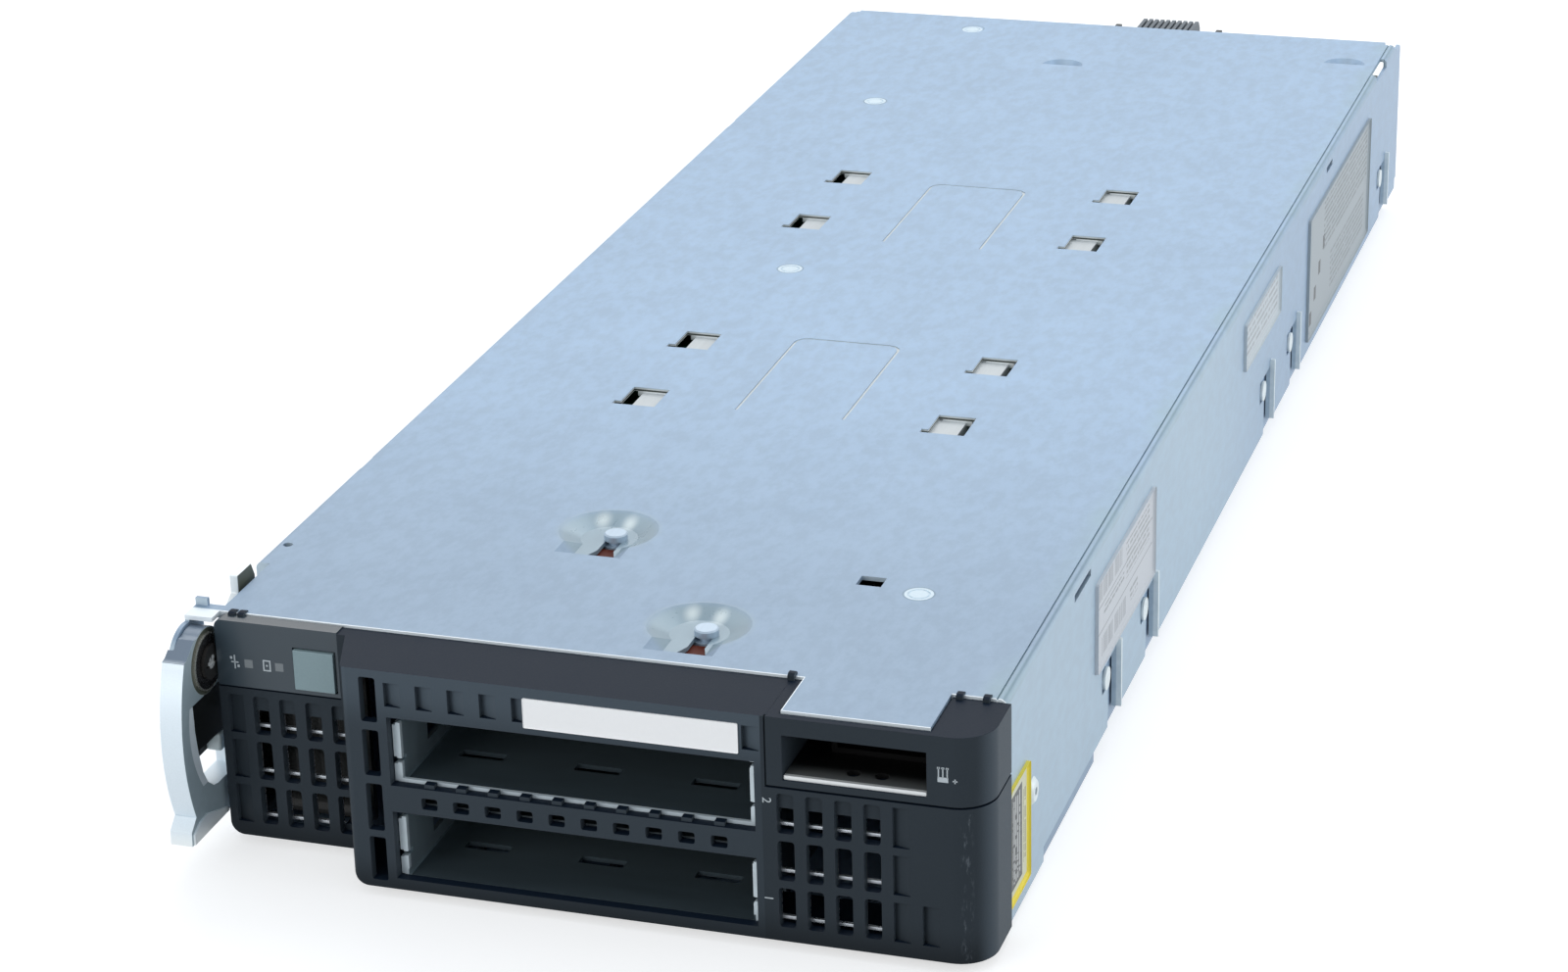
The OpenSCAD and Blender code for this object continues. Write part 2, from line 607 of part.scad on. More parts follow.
module suv_bezel() color("darkslategray") {
    intersection() {
        difference() {
            translate([0, 0, seam_z]) linear_extrude(height = bezel_top - seam_z) bezel_plan(0, bezel_back);
            translate([0, 0, suv_floor]) linear_extrude(height = bezel_top - bezel_t - suv_floor) bezel_plan(bezel_t, bezel_back + over);
            block(suv_open_x, [nose_y - over, nose_y + bezel_t + over], suv_open_z);
            // seat of the tongue of the top sheet
            block([tongue_x[0] - 0.3, tongue_x[1] + 0.3], [tongue_y - 0.3, 0], [sheet_z, body_h]);
        }
        block([suv_x, bezel_right + over], [nose_y - 1, bezel_back + 1], [seam_z, body_h]);
    }
    // left end wall, and the two side walls of the opening
    block([suv_x, suv_x + bezel_t], [nose_y + bezel_t - 0.2, bezel_back], [suv_floor - 0.2, bezel_top - bezel_t + 0.2]);
    block([suv_open_x[0] - 1, suv_open_x[0]], [nose_y + bezel_t - 0.2, bezel_back], [suv_floor - 0.2, bezel_top - bezel_t + 0.2]);
    block([suv_open_x[1] + 0.4, suv_open_x[1] + 1.4], [nose_y + bezel_t - 0.2, bezel_back], [suv_floor - 0.2, bezel_top - bezel_t + 0.2]);
}

module suv_floor_plate() color("silver") {
    difference() {
        block([suv_open_x[0] + 0.2, suv_open_x[1]], [nose_y + bezel_t + 0.1, bezel_back], [suv_floor, suv_sill]);
        for (x = [60, 66]) translate([x, nose_y + 5, suv_floor - over]) cylinder(r = 1.5, h = 2);
    }
    // bright edge that lies on the opening's lower side
    block([suv_open_x[0] + 0.2, suv_open_x[1] - 0.2], [nose_y + 0.5, nose_y + bezel_t + 0.3], [suv_open_z[0], suv_sill]);
}

module suv_connector() color("dimgray") {
    x = [suv_open_x[0] + 6.5, suv_open_x[1] - 2.5];
    z = [suv_sill, suv_open_z[1] - 0.6];
    y = [bezel_back - 5, bezel_back + 4];
    difference() {
        block(x, y, z);
        block([x[0] + 1.2, x[1] - 1.2], [y[0] - over, y[0] + 4], [z[0] + 1.2, z[1] - 1.2]);
    }
    block([x[0] + 3, x[1] - 3], [y[0] + 0.8, y[1] - 1], [z[0] + 2.9, z[1] - 2.9]);
}

window_at = [bezel_left + 6.5, bezel_left + 13.6];
window_side = 1.9;
window_z = led_foot + 4.7;
led_top = bezel_top + 0.3;
button_x = [led_right - 10.2, led_right - 0.9];
button_z = [led_foot + 1.2, led_foot + 10.4];
board_face = front_y + 7.2;

module led_panel() color("darkslategray") {
    difference() {
        block([bezel_left, led_right], [left_y, bezel_back], [led_foot, led_top]);
        block([bezel_left + bezel_t, led_right + over], [left_y + bezel_t, bezel_back + over], [led_foot + 1, led_top - bezel_t]);
        block([button_x[0] - gap, button_x[1] + gap], [left_y - over, left_y + bezel_t + over], [button_z[0] - gap, button_z[1] + gap]);
        for (x = window_at) block([x, x + window_side], [left_y - over, left_y + bezel_t + over], [window_z, window_z + window_side]);
        round_off([bezel_left, led_top], [1, -1], 1.6, [left_y - over, bezel_back + over]);
    }
    // clips under the top sheet
    for (x = [bezel_left + 14, led_right - 6]) block([x - 3, x + 3], [front_y - 2, front_y + 4], [sheet_z - 2, sheet_z]);
}

module led_light_pipes() color("whitesmoke") {
    for (x = window_at) {
        block([x, x + window_side], [left_y, left_y + bezel_t], [window_z, window_z + window_side]);
        translate([x + window_side / 2, left_y + bezel_t, window_z + window_side / 2]) rotate([-90, 0, 0])
            cylinder(r = 0.9, h = board_face - left_y - bezel_t);
    }
}

button_mid = (button_x[0] + button_x[1]) / 2;
switch_z = (button_z[0] + button_z[1]) / 2;
switch_y = board_face - 2;

module power_button() color("darkgray") {
    block(button_x, [left_y - 0.7, left_y + 2.6], button_z);
    translate([button_mid, left_y + 2.4, switch_z]) rotate([-90, 0, 0]) cylinder(r = 1.5, h = switch_y - 1.6 - left_y - 2.4);
}

module front_panel_board() color("seagreen") {
    block([recess_x + 2 * sheet_t + 0.4, flank_x - 1.2], [board_face, board_face + 1.6], [3.6, 50]);
    // switch behind the power button
    block([button_mid - 3, button_mid + 3], [switch_y, board_face], [switch_z - 3, switch_z + 3]);
}

module bezel_clips() color("dimgray") {
    for (c = [[nose_right - 0.2, 1.0, bezel_top], [tongue_x[1] + 1.2, 0.6, bezel_top], [tongue_x[1] + 6.8, 0.6, bezel_top],
              [bezel_left + 2.2, 0.5, led_top], [bezel_left + 4.4, 0.5, led_top]]) {
        along_x([c[0], c[0] + 1.4]) polygon([
            [bezel_back - 1, c[2]], [bezel_back, c[2]], [bezel_back, body_h], [front_y + 1.4, body_h],
            [front_y + 1.4, body_h + c[1] * 0.4], [front_y + 0.5, body_h + c[1]], [bezel_back - 0.4, body_h + c[1]],
            [bezel_back - 1, body_h + c[1] * 0.5]]);
    }
}

// ---- release lever ----

blade_r = handle_r;
blade_at = [front_y - 19.6 + blade_r, 29];
foot_z = 6.4;
bar_y = [front_y + 4.8, front_y + 7.8];
slot_z = [14.8, 37];
latch_y = front_y - 12.6;
thumb_y = front_y - 10.4;
claw_top = body_h + 0.6 + claw_rise;

// Casting before its cuts: hub, curved blade, shoulder and foot lip
module lever_blank(x) {
    rod_x(x, pivot, hub_r);
    intersection() {
        rod_x(x, blade_at, blade_r);
        union() {
            block(x, [front_y - 20, bar_y[1]], [foot_z, slot_z[1] + 1.5]);
            block(x, [front_y - 20, pivot_y], [slot_z[1], pivot_z + 4]);
        }
    }
    along_x(x) polygon([[front_y - 15.8, pivot_z + 3.8], [front_y - 14.4, pivot_z + 4.2], [front_y - 10.2, pivot_z + 6.9],
                        [pivot_y, pivot_z + hub_r - 0.7], pivot, [front_y - 15.4, pivot_z]]);
    along_x(x) polygon([[front_y - 16.5, foot_z + 5.6], [front_y - 19.2, foot_z + 3.2], [front_y - 19.4, foot_z],
                        [front_y - 12, foot_z]]);
}

// Finger opening: its front edge follows the blade, its foot is rounded
module finger_hole(x) {
    along_x(x) polygon([
        [bar_y[0], slot_z[0]], [front_y - 5, slot_z[0]], [front_y - 7.2, slot_z[0] + 0.5], [front_y - 9.6, slot_z[0] + 2.4],
        [front_y - 11.4, slot_z[0] + 5.6], [front_y - 12.8, slot_z[0] + 11], [front_y - 13.5, slot_z[0] + 16],
        [front_y - 13.6, slot_z[1]], [bar_y[0], slot_z[1]]]);
}

// Claw plate before its bore: hub, arm and claw
module claw_blank(x) {
    rod_x(x, pivot, hub_r - 0.2);
    along_x(x) polygon([
        [pivot_y + 3, pivot_z + 3], [front_y + 9.8, body_h - 3], [front_y + 12.3, body_h - 1.5], [front_y + 12.3, claw_top],
        [front_y + 19.3, claw_top], [front_y + 20.8, body_h - 0.5], [front_y + 20.3, body_h - 6.5],
        [front_y + 13.8, pivot_z], [pivot_y + 4.2, pivot_z - 4]]);
}

button_pocket_z = [slot_z[0] + 5.6, slot_z[0] + 12.4];

module release_lever() color("silver") {
    difference() {
        lever_blank(lever_x);
        finger_hole([lever_x[0] - over, lever_x[1] + over]);
        // seat of the bracket's ear
        along_x([lever_x[0] - over, hub_x]) translate(pivot) circle(r = clear_r);
        // seat of the claw plate
        claw_blank([lever_x[1] - claw_t, lever_x[1] + over]);
        rod_x([lever_x[0] - over, lever_x[1] + over], pivot, pivot_r + pivot_fit);
        // guide of the latch button in the rear bar
        block([lever_x[0] + 0.8, lever_x[1] + over], [bar_y[0] - over, bar_y[1] + over], button_pocket_z);
        // drain notch in the foot
        block([lever_x[0] + 1.6, lever_x[0] + 3.2], [front_y - 11, front_y - 8], [foot_z - over, foot_z + 1.6]);
    }
    // ledge on the foot's inner side
    along_x([lever_x[1] - over, lever_x[1] + 0.5]) polygon([
        [front_y - 18.9, foot_z + 0.2], [front_y - 18.7, foot_z + 2.6], [front_y - 15.6, foot_z + 4],
        [front_y - 12, foot_z + 4.4], [front_y - 1.9, foot_z + 1.1], [front_y - 1.9, foot_z + 0.2]]);
}

module lever_claw() color("gray") {
    difference() {
        claw_blank([lever_x[1] - claw_t, lever_x[1]]);
        rod_x([lever_x[0], lever_x[1] + over], pivot, pivot_r + pivot_fit);
    }
}

module lever_washer() color("dimgray") {
    difference() {
        rod_x([lever_x[1], lever_x[1] + 0.5], pivot, 6.4);
        rod_x([lever_x[1] - over, lever_x[1] + 1], pivot, pivot_r + pivot_fit);
    }
}

module lever_pivot_screw() color("silver") {
    rod_x([lever_x[0], lever_x[1] + 0.7], pivot, pivot_r);
    difference() {
        rod_x([lever_x[1] + 0.6, lever_x[1] + 1.3], pivot, 3.9);
        block([lever_x[1] + 1, lever_x[1] + 2], [pivot_y - 3, pivot_y + 3], [pivot_z - 0.5, pivot_z + 0.5]);
    }
}

module lever_bracket() color("lightsteelblue") {
    strap = [front_y - 3.8, front_y + 2.8];
    lap = [recess_x - 1.0, recess_x + 8.9];
    difference() {
        along_x([lever_x[0], lever_x[0] + ear_t]) union() {
            translate(pivot) circle(r = 8.2);
            rect(strap, [pivot_z, body_h]);
        }
        rod_x([lever_x[0] - over, lever_x[0] + ear_t + over], pivot, pivot_r);
    }
    block([lever_x[0], recess_x], strap, [sheet_z, body_h]);
    block([lap[0], recess_x], [lap_y[0], strap[1]], [sheet_z - sheet_t, body_h]);
    // upright lug beside the claw
    block([lever_x[0], lever_x[1] - claw_t - 0.3], [strap[1] - 1, strap[1]], [sheet_z, body_h + 1.6]);
    block(lap, lap_y, [sheet_z - sheet_t, sheet_z]);
}

module lever_latch_body() color("black") {
    difference() {
        block([lever_x[0] + 0.7, lever_x[1] - 0.4], [latch_y, bar_y[0]], [button_pocket_z[1] + 0.6, slot_z[1]]);
        along_x([lever_x[0], hub_x]) translate(pivot) circle(r = clear_r);
        along_x([lever_x[1] - claw_t - over, lever_x[1] + over]) translate(pivot) circle(r = hub_r);
    }
}

module lever_latch_button() color("whitesmoke") {
    block([lever_x[0] + 1.1, lever_x[1] - 0.4], [thumb_y, bar_y[1] - 1.9],
          [button_pocket_z[0] + gap, button_pocket_z[1] - gap]);
}

// ---- drive cage ----

cage_x = [bay_x[0] + 0.8, bay_x[1] - 0.5];
panel_clear = sheet_t + 0.8;
stud_top = body_h - dish_depth;
post_top = stud_top - sheet_t;

module drive_cage() color("lightsteelblue") {
    difference() {
        along_y([cage_front, cage_rear]) union() {
            for (x = [cage_x[0], cage_x[1] - cage_t]) rect([x, x + cage_t], [sheet_t, cage_top]);
            rect(cage_x, [cage_top - cage_t, cage_top]);
            for (b = [lower_bay, upper_bay]) rect(cage_x, [b[0] - cage_t, b[0]]);
            rect(cage_x, [lower_bay[1], lower_bay[1] + cage_t]);
        }
        // room for the bezel's floor
        block([cage_x[0] - over, cage_x[1] + over], [cage_front - over, front_y + 2], [0, lower_bay[0] - cage_t]);
        // room over the front end of the access panel
        block([cage_x[0] - over, cage_x[1] + over], [pan_rear - 1, cage_rear + over], [0, panel_clear]);
        // side openings near the front
        for (b = [lower_bay, upper_bay])
            block([cage_x[0] - over, cage_x[0] + cage_t + over], [cage_front + 14, cage_front + 40], [b[0] + 3, b[1] - 5]);
        // lanced slots in the two floors
        for (b = [lower_bay, upper_bay], x = [-26, 0, 26], y = [14, 44, 74])
            block([x - 5, x + 5], [cage_front + y, cage_front + y + 3], [b[0] - cage_t - over, b[0] + over]);
        // notches in the front edges
        for (b = [lower_bay, upper_bay], x = [cage_x[0], cage_x[1] - cage_t], z = [4.3, 13.5])
            block([x - over, x + cage_t + over], [cage_front - over, cage_front + 2.4], [b[0] + z, b[0] + z + 1]);
    }
    // hems folded outwards along the front edges
    for (b = [lower_bay, upper_bay]) {
        block([bay_x[0] + 0.1, cage_x[0]], [cage_front, cage_front + 5], [b[0], b[0] + 4]);
        block([bay_x[0] + 0.1, cage_x[0]], [cage_front, cage_front + 5], [b[0] + 5.6, b[0] + 13]);
        for (z = [[0, 4], [5.4, 13], [14.4, bay_h]])
            block([cage_x[1] - cage_t - 0.2, bay_x[1] - 0.1], [cage_front, cage_front + 1], [b[0] + z[0], b[0] + z[1]]);
    }
    // lip along the upper floor's front edge
    block([cage_x[0] + 1, cage_x[1] - 1], [cage_front, cage_front + 0.8], [upper_bay[0] - cage_t, upper_bay[0] + 0.7]);
}

module cage_studs() color("silver") {
    for (p = stud_at) translate([p[0], p[1], cage_top]) {
        cylinder(r = 3, h = post_top - cage_top);
        cylinder(r = 1.75, h = stud_top - cage_top + 0.1);
        translate([0, 0, stud_top - cage_top]) cylinder(r = 2.65, h = 1.3);
        translate([0, 0, stud_top - cage_top + 1.3]) cylinder(r1 = 2.65, r2 = 2.3, h = 0.3);
    }
}

module cage_insulator() color("sienna") {
    difference() {
        block([bay_x[0] + 4, bay_x[1] - 4], [front_y + 6, cage_rear - 6], [cage_top, cage_top + 0.4]);
        for (p = stud_at) translate([p[0], p[1], cage_top - over]) cylinder(r = 3.3, h = 2);
    }
    // pads under the keyholes
    for (p = stud_at) block([p[0] - 5, p[0] + 5], [p[1] - 15.5, p[1] - 3.6], [cage_top, post_top - 0.15]);
}

module drive_backplane() color("seagreen") {
    difference() {
        block([cage_x[0] - 1, cage_x[1] + 1], [cage_rear, cage_rear + 1.6], [panel_clear, cage_top]);
        for (b = [lower_bay, upper_bay], x = [-30, 26]) block([x, x + 8], [cage_rear - over, cage_rear + 2], [b[0] + 2, b[1] - 2]);
    }
}

module backplane_connectors() color("black") {
    for (b = [lower_bay, upper_bay]) difference() {
        block([-22, 20], [cage_rear - 7.6, cage_rear], [b[0] + 4, b[0] + 10]);
        block([-20, 5], [cage_rear - 8, cage_rear - 2.6], [b[0] + 6, b[0] + 8.6]);
        block([8, 18], [cage_rear - 8, cage_rear - 2.6], [b[0] + 6, b[0] + 8.6]);
    }
}

// ---- mainboard ----

module flush_rivets() color("slategray") {
    for (p = rivet_at) translate([p[0], p[1], sheet_z - 1.4]) difference() {
        union() {
            cylinder(r = rivet_r, h = sheet_t + 1.4);
            cylinder(r = rivet_r + 0.9, h = 1.4);
        }
        translate([0, 0, sheet_t + 1.2]) difference() {
            cylinder(r = 2.5, h = 1);
            translate([0, 0, -over]) cylinder(r = 2.1, h = 2);
        }
    }
}

screw_x = heatsink_x - 6;
screw_at = [for (c = cpu_y, x = [-screw_x, screw_x], y = [-23, 23]) [x, c + y]];
post_x = board_x - 7;
standoff_at = [for (s = [-1, 1], y = [board_front + 10, dimm_y[1] - dimm_socket_l / 2, zone_y + 4]) [s * post_x, y],
               [0, cpu_y[1] - cpu_pitch / 2], [-post_x + 12, board_rear - 8], [post_x - 16, board_rear - 8]];

module mainboard() color("seagreen") {
    difference() {
        block([-board_x, board_x], [board_front, board_rear], [board_z, board_z + board_t]);
        for (p = screw_at) translate([p[0], p[1], board_z - 1]) cylinder(r = 2, h = board_t + 2);
        for (x = [-board_x - 1, board_x - 9]) block([x, x + 10], [board_rear - 3, board_rear + 1], [board_z - 1, board_z + 3]);
    }
}

module board_standoffs() color("silver") {
    for (p = standoff_at) translate([p[0], p[1], board_z + board_t]) cylinder(r = 3, h = board_gap);
}

plate_x = window_dx / 2 + 2.2;

module cpu_backplates() color("silver") {
    for (c = cpu_y) difference() {
        block([-plate_x, plate_x], [c - 28, c + 28], [board_z + board_t, sheet_z - 1.6]);
        block([-16, 16], [c - 14, c + 14], [board_z, sheet_z]);
    }
}

module cpu_sockets() color("dimgray") {
    for (c = cpu_y) block([-29, 29], [c - 25.5, c + 25.5], [board_z - socket_h, board_z]);
}

module processors() color("silver") {
    for (c = cpu_y) {
        block([-26, 26], [c - 22.5, c + 22.5], [heatsink_top + 1, heatsink_top + lid_h]);
        block([-20, 20], [c - 18, c + 18], [heatsink_top, heatsink_top + 1.1]);
    }
}

// Finned heatsink, base upwards, over the processor at y
module heatsink(y) {
    half_y = 48;
    fin_t = 0.7;
    base_z = heatsink_top - base_h;
    difference() {
        union() {
            block([-heatsink_x, heatsink_x], [y - half_y, y + half_y], [base_z, heatsink_top]);
            for (x = [-heatsink_x : fin_pitch : heatsink_x - fin_t])
                block([x, x + fin_t], [y - half_y, y + half_y], [base_z - fin_h, base_z + 0.1]);
        }
        for (p = screw_at) if (abs(p[1] - y) < half_y) translate([p[0], p[1], base_z - fin_h - over]) {
            cylinder(r = 2, h = fin_h + base_h + 1);
            translate([0, 0, -over]) cylinder(r = 4.4, h = fin_h + 1);
        }
    }
}

module heatsink_front() color("gainsboro") heatsink(cpu_y[0]);

module heatsink_rear() color("gainsboro") heatsink(cpu_y[1]);

module heatsink_screws() color("silver") {
    base_z = heatsink_top - base_h;
    for (p = screw_at) translate([p[0], p[1], base_z - 5]) {
        difference() {
            cylinder(r = 3.6, h = 5);
            translate([0, 0, -over]) cylinder(r = 1.6, h = 2.5);
        }
        cylinder(r = 1.8, h = board_z + board_t - base_z + 5);
    }
}

dimm_card_l = dimm_socket_l - 9;
dimm_card_z = [board_z - 30.7, board_z - 2.2];
dimm_cols = [for (i = [0:3]) dimm_x + i * dimm_pitch];

module dimm_sockets() color("dimgray") {
    both_sides() for (x = dimm_cols, y = dimm_y) difference() {
        union() {
            block([x - 3.2, x + 3.2], [y - dimm_socket_l / 2, y + dimm_socket_l / 2], [board_z - 9.2, board_z]);
            for (s = [-1, 1]) block([x - 2.6, x + 2.6], [y + s * (dimm_socket_l / 2 - 2) - 2, y + s * (dimm_socket_l / 2 - 2) + 2],
                                    [board_z - 19, board_z - 9]);
        }
        block([x - 0.7, x + 0.7], [y - dimm_card_l / 2, y + dimm_card_l / 2], [board_z - 10, dimm_card_z[1]]);
    }
}

// One bank of memory modules on the right-hand side
module memory_bank() {
    for (x = dimm_cols, y = dimm_y) {
        block([x - 0.7, x + 0.7], [y - dimm_card_l / 2, y + dimm_card_l / 2], dimm_card_z);
        for (i = [0:8]) block([x + 0.7, x + 1.8], [y - dimm_card_l / 2 + 5 + i * 14, y - dimm_card_l / 2 + 14 + i * 14],
                              [dimm_card_z[0] + 5.5, dimm_card_z[0] + 16]);
    }
}

module memory_modules_left() color("darkgreen") mirror([1, 0, 0]) memory_bank();

module memory_modules_right() color("darkgreen") memory_bank();

// Clear duct wall between the heatsinks and a bank of memory
module air_baffle() {
    difference() {
        block([heatsink_x + 0.6, heatsink_x + 1.6], [board_front + 3, cpu_y[1] + 52], [10, board_z]);
        for (c = cpu_y) block([heatsink_x, heatsink_x + 3], [c - 20, c + 20], [board_z - 6, board_z + 1]);
    }
    block([heatsink_x - 8, heatsink_x + 1.6], [cpu_y[0] + 54, cpu_y[1] - 54], [10, 11.2]);
}

module air_baffle_left() color("gray") mirror([1, 0, 0]) air_baffle();

module air_baffle_right() color("gray") air_baffle();

mezz_y = [zone_y + zone_l * 0.13, zone_y + zone_l * 0.8];

module mezzanine_connectors() color("dimgray") {
    for (x = [24, board_x - 35]) difference() {
        block([x, x + 8], mezz_y, [board_z - 9, board_z]);
        block([x + 2, x + 6], [mezz_y[0] + 3, mezz_y[1] - 3], [board_z - 10, board_z - 4]);
    }
}

card_z = board_z - 17.2;
card_x = [-30, 14];
card_y = [zone_y + zone_l * 0.1, zone_y + zone_l * 0.9];
chip_y = [card_y[0] + 12, card_y[0] + 12 + zone_l * 0.32];

module network_card() color("seagreen") block(card_x, card_y, [card_z, card_z + 1.6]);

module network_connector() color("dimgray") {
    block([card_x[0] + 2, card_x[1] - 2], [card_y[0] + 3, card_y[0] + 10], [card_z + 1.6, board_z]);
}

module network_heatsink() color("gainsboro") {
    x = [card_x[0] + 10, card_x[1] - 10];
    block(x, chip_y, [card_z - 3, card_z]);
    for (fin = [x[0] : 3 : x[1] - 0.9]) block([fin, fin + 0.9], chip_y, [card_z - 12, card_z - 2.9]);
}

cache_at = [7 - board_x, zone_y + zone_l * 0.16];
cache_l = zone_l * 0.5;

module cache_module() color("seagreen") {
    block([cache_at[0], cache_at[0] + 36], [cache_at[1], cache_at[1] + cache_l], [board_z - 11, board_z - 9.4]);
    for (x = [cache_at[0] + 4, cache_at[0] + 32], y = [cache_at[1] + 4, cache_at[1] + cache_l - 4])
        translate([x, y, board_z - 9.6]) cylinder(r = 2.2, h = 9.6);
    for (i = [0:3]) block([cache_at[0] + 8 + i * 5.5, cache_at[0] + 12 + i * 5.5],
                          [cache_at[1] + cache_l * 0.3, cache_at[1] + cache_l * 0.6], [board_z - 12, board_z - 10.9]);
}

cell_at = [board_x - 13, zone_y + zone_l * 0.42, board_z - 4];

module cell_holder() color("black") {
    translate([cell_at[0], cell_at[1], cell_at[2]]) cylinder(r = 10.8, h = 4);
    difference() {
        translate([cell_at[0], cell_at[1], cell_at[2] - 3.3]) cylinder(r = 10.8, h = 3.4);
        translate([cell_at[0], cell_at[1], cell_at[2] - 4]) cylinder(r = 10, h = 4);
        block([cell_at[0] - 5, cell_at[0] + 12], [cell_at[1] - 12, cell_at[1]], [cell_at[2] - 4, cell_at[2]]);
    }
}

module coin_cell() color("silver") {
    translate([cell_at[0], cell_at[1], cell_at[2] - 3.2]) cylinder(r = 9.9, h = 3.2);
}

module chipset_heatsink() color("gainsboro") {
    x = [14, 44];
    y = [cpu_y[1] + 57, cpu_y[1] + 85];
    block(x, y, [board_z - 5, board_z]);
    for (i = [0:9]) block([x[0] + i * 3.2, x[0] + i * 3.2 + 1], y, [board_z - 13, board_z - 4.9]);
}

module inductors() color("dimgray") {
    for (i = [0:5], y = [-6, 4]) block([i * 13 - 36.5, i * 13 - 28.5], [cpu_y[1] - 67.5 + y, cpu_y[1] - 60 + y], [board_z - 7, board_z]);
}

module capacitors() color("black") {
    for (i = [0:4], j = [0:1]) translate([i * 9 - 40, cpu_y[1] + 60 + j * 10, board_z - 9]) cylinder(r = 3.3, h = 9);
}

module usb_port() color("silver") {
    difference() {
        block([-26, -13], [board_front, board_front + 12], [board_z - 7, board_z]);
        block([-25, -14], [board_front - 1, board_front + 10], [board_z - 6, board_z - 1]);
    }
}

// ---- rear connectors ----

signal_x = [-1.4, 31];
signal_z = [board_z - 21.2, sheet_z - 1.9];
plug_y = rear_y + plug_reach;
comb_x = signal_x[0] + 6.6;

module signal_housing() color("black") {
    wall = 2.2;
    difference() {
        block(signal_x, [board_rear, rear_y + 1], signal_z);
        block([signal_x[0] + wall, signal_x[1] - wall], [rear_y - 3, rear_y + 2], [signal_z[0] + wall, signal_z[1] + over]);
    }
    // guide ears
    for (x = signal_x) block([x - 1.6, x + 1.6], [rear_y - 6, rear_y + 6], [signal_z[0] + 6, signal_z[1] - 6.6]);
    for (x = signal_x) block([x - 0.9, x + 0.9], [rear_y + 1, rear_y + 8], [signal_z[1] - 7, sheet_z - 0.6]);
}

module signal_wafers() color("dimgray") {
    for (i = [0 : wafer_n - 1]) {
        x = comb_x + i * wafer_pitch;
        z = [signal_z[0] + 2.4, sheet_z - 0.2];
        along_x([x, x + wafer_pitch * 0.6]) polygon([
            [rear_y - 3, z[0]], [plug_y - 2, z[0]], [plug_y, z[0] + 2.6],
            [plug_y, z[1] - 2.5], [plug_y - 2, z[1]], [rear_y - 3, z[1]]]);
    }
}

power_x = [15 - board_x, 45 - board_x];
power_z = [board_z - 15.2, board_z];
blade_z = [power_z[0] + 2.4, power_z[1] - 2.4];

module power_housing() color("black") {
    difference() {
        block(power_x, [rear_y - 22, rear_y + 11], power_z);
        for (i = [0:3]) block([power_x[0] + 3 + i * 6.8, power_x[0] + 6.6 + i * 6.8], [rear_y - 8, rear_y + 12], blade_z);
    }
}

module power_blades() color("goldenrod") {
    for (i = [0:3]) block([power_x[0] + 4.4 + i * 6.8, power_x[0] + 5.2 + i * 6.8], [rear_y - 8, rear_y + 9],
                          [blade_z[0] + 1, blade_z[1] - 1]);
}

chassis_tray();
front_pan();
access_panel();
panel_latch_button();
front_bezel();
grille_screen();
suv_bezel();
suv_floor_plate();
suv_connector();
led_panel();
led_light_pipes();
power_button();
front_panel_board();
release_lever();
lever_claw();
lever_pivot_screw();
lever_washer();
lever_bracket();
lever_latch_body();
lever_latch_button();
drive_cage();
drive_backplane();
backplane_connectors();
cage_studs();
cage_insulator();
flush_rivets();
mainboard();
board_standoffs();
cpu_backplates();
cpu_sockets();
processors();
heatsink_front();
heatsink_rear();
heatsink_screws();
dimm_sockets();
memory_modules_left();
memory_modules_right();
air_baffle_left();
air_baffle_right();
mezzanine_connectors();
network_card();
network_heatsink();
network_connector();
cache_module();
coin_cell();
cell_holder();
chipset_heatsink();
signal_housing();
signal_wafers();
power_housing();
power_blades();
inductors();
capacitors();
bezel_clips();
usb_port();
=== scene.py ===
"""Half-height blade server: finishes, soft edges, stickers and marks over the frame.

Places and lengths are in millimetres, unless a comment names metres.
"""

from __future__ import annotations

import json
import logging
import math
from dataclasses import dataclass, field
from enum import Enum
from typing import Mapping, Optional, Sequence, Tuple, Union

import bmesh
import bpy
from mathutils import Matrix, Vector

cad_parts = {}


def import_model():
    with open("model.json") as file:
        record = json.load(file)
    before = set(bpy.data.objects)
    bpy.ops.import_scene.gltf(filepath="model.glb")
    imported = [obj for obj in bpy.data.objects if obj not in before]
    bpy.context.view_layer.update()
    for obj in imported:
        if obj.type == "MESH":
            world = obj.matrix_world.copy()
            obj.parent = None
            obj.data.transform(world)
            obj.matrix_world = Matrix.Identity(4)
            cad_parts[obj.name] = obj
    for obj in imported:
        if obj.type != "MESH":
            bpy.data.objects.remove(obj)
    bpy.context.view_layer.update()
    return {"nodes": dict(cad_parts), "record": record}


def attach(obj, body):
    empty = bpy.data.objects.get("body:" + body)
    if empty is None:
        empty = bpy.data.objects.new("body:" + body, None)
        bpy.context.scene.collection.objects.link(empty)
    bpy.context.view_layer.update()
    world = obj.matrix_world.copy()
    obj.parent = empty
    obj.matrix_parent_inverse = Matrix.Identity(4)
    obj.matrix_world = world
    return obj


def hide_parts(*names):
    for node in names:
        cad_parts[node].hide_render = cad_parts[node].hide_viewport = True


LOG = logging.getLogger("blade_server")
MM = 0.001
PER_METRE = 1000.0

Colour = Tuple[float, float, float]
Point = Tuple[float, float, float]
Span = Tuple[float, float]
Pair = Tuple[Colour, Colour]
Patch = Tuple[Span, Span, Colour]
Piece = bpy.types.Object
Material = bpy.types.Material

# The lever's pivot, along and up
PIVOT: Span = (-237.2, 44.0)


class Side(Enum):
    """Direction in which a flat mark or sticker faces."""

    FRONT = "front"
    RIGHT = "right"


# ---- shader maths


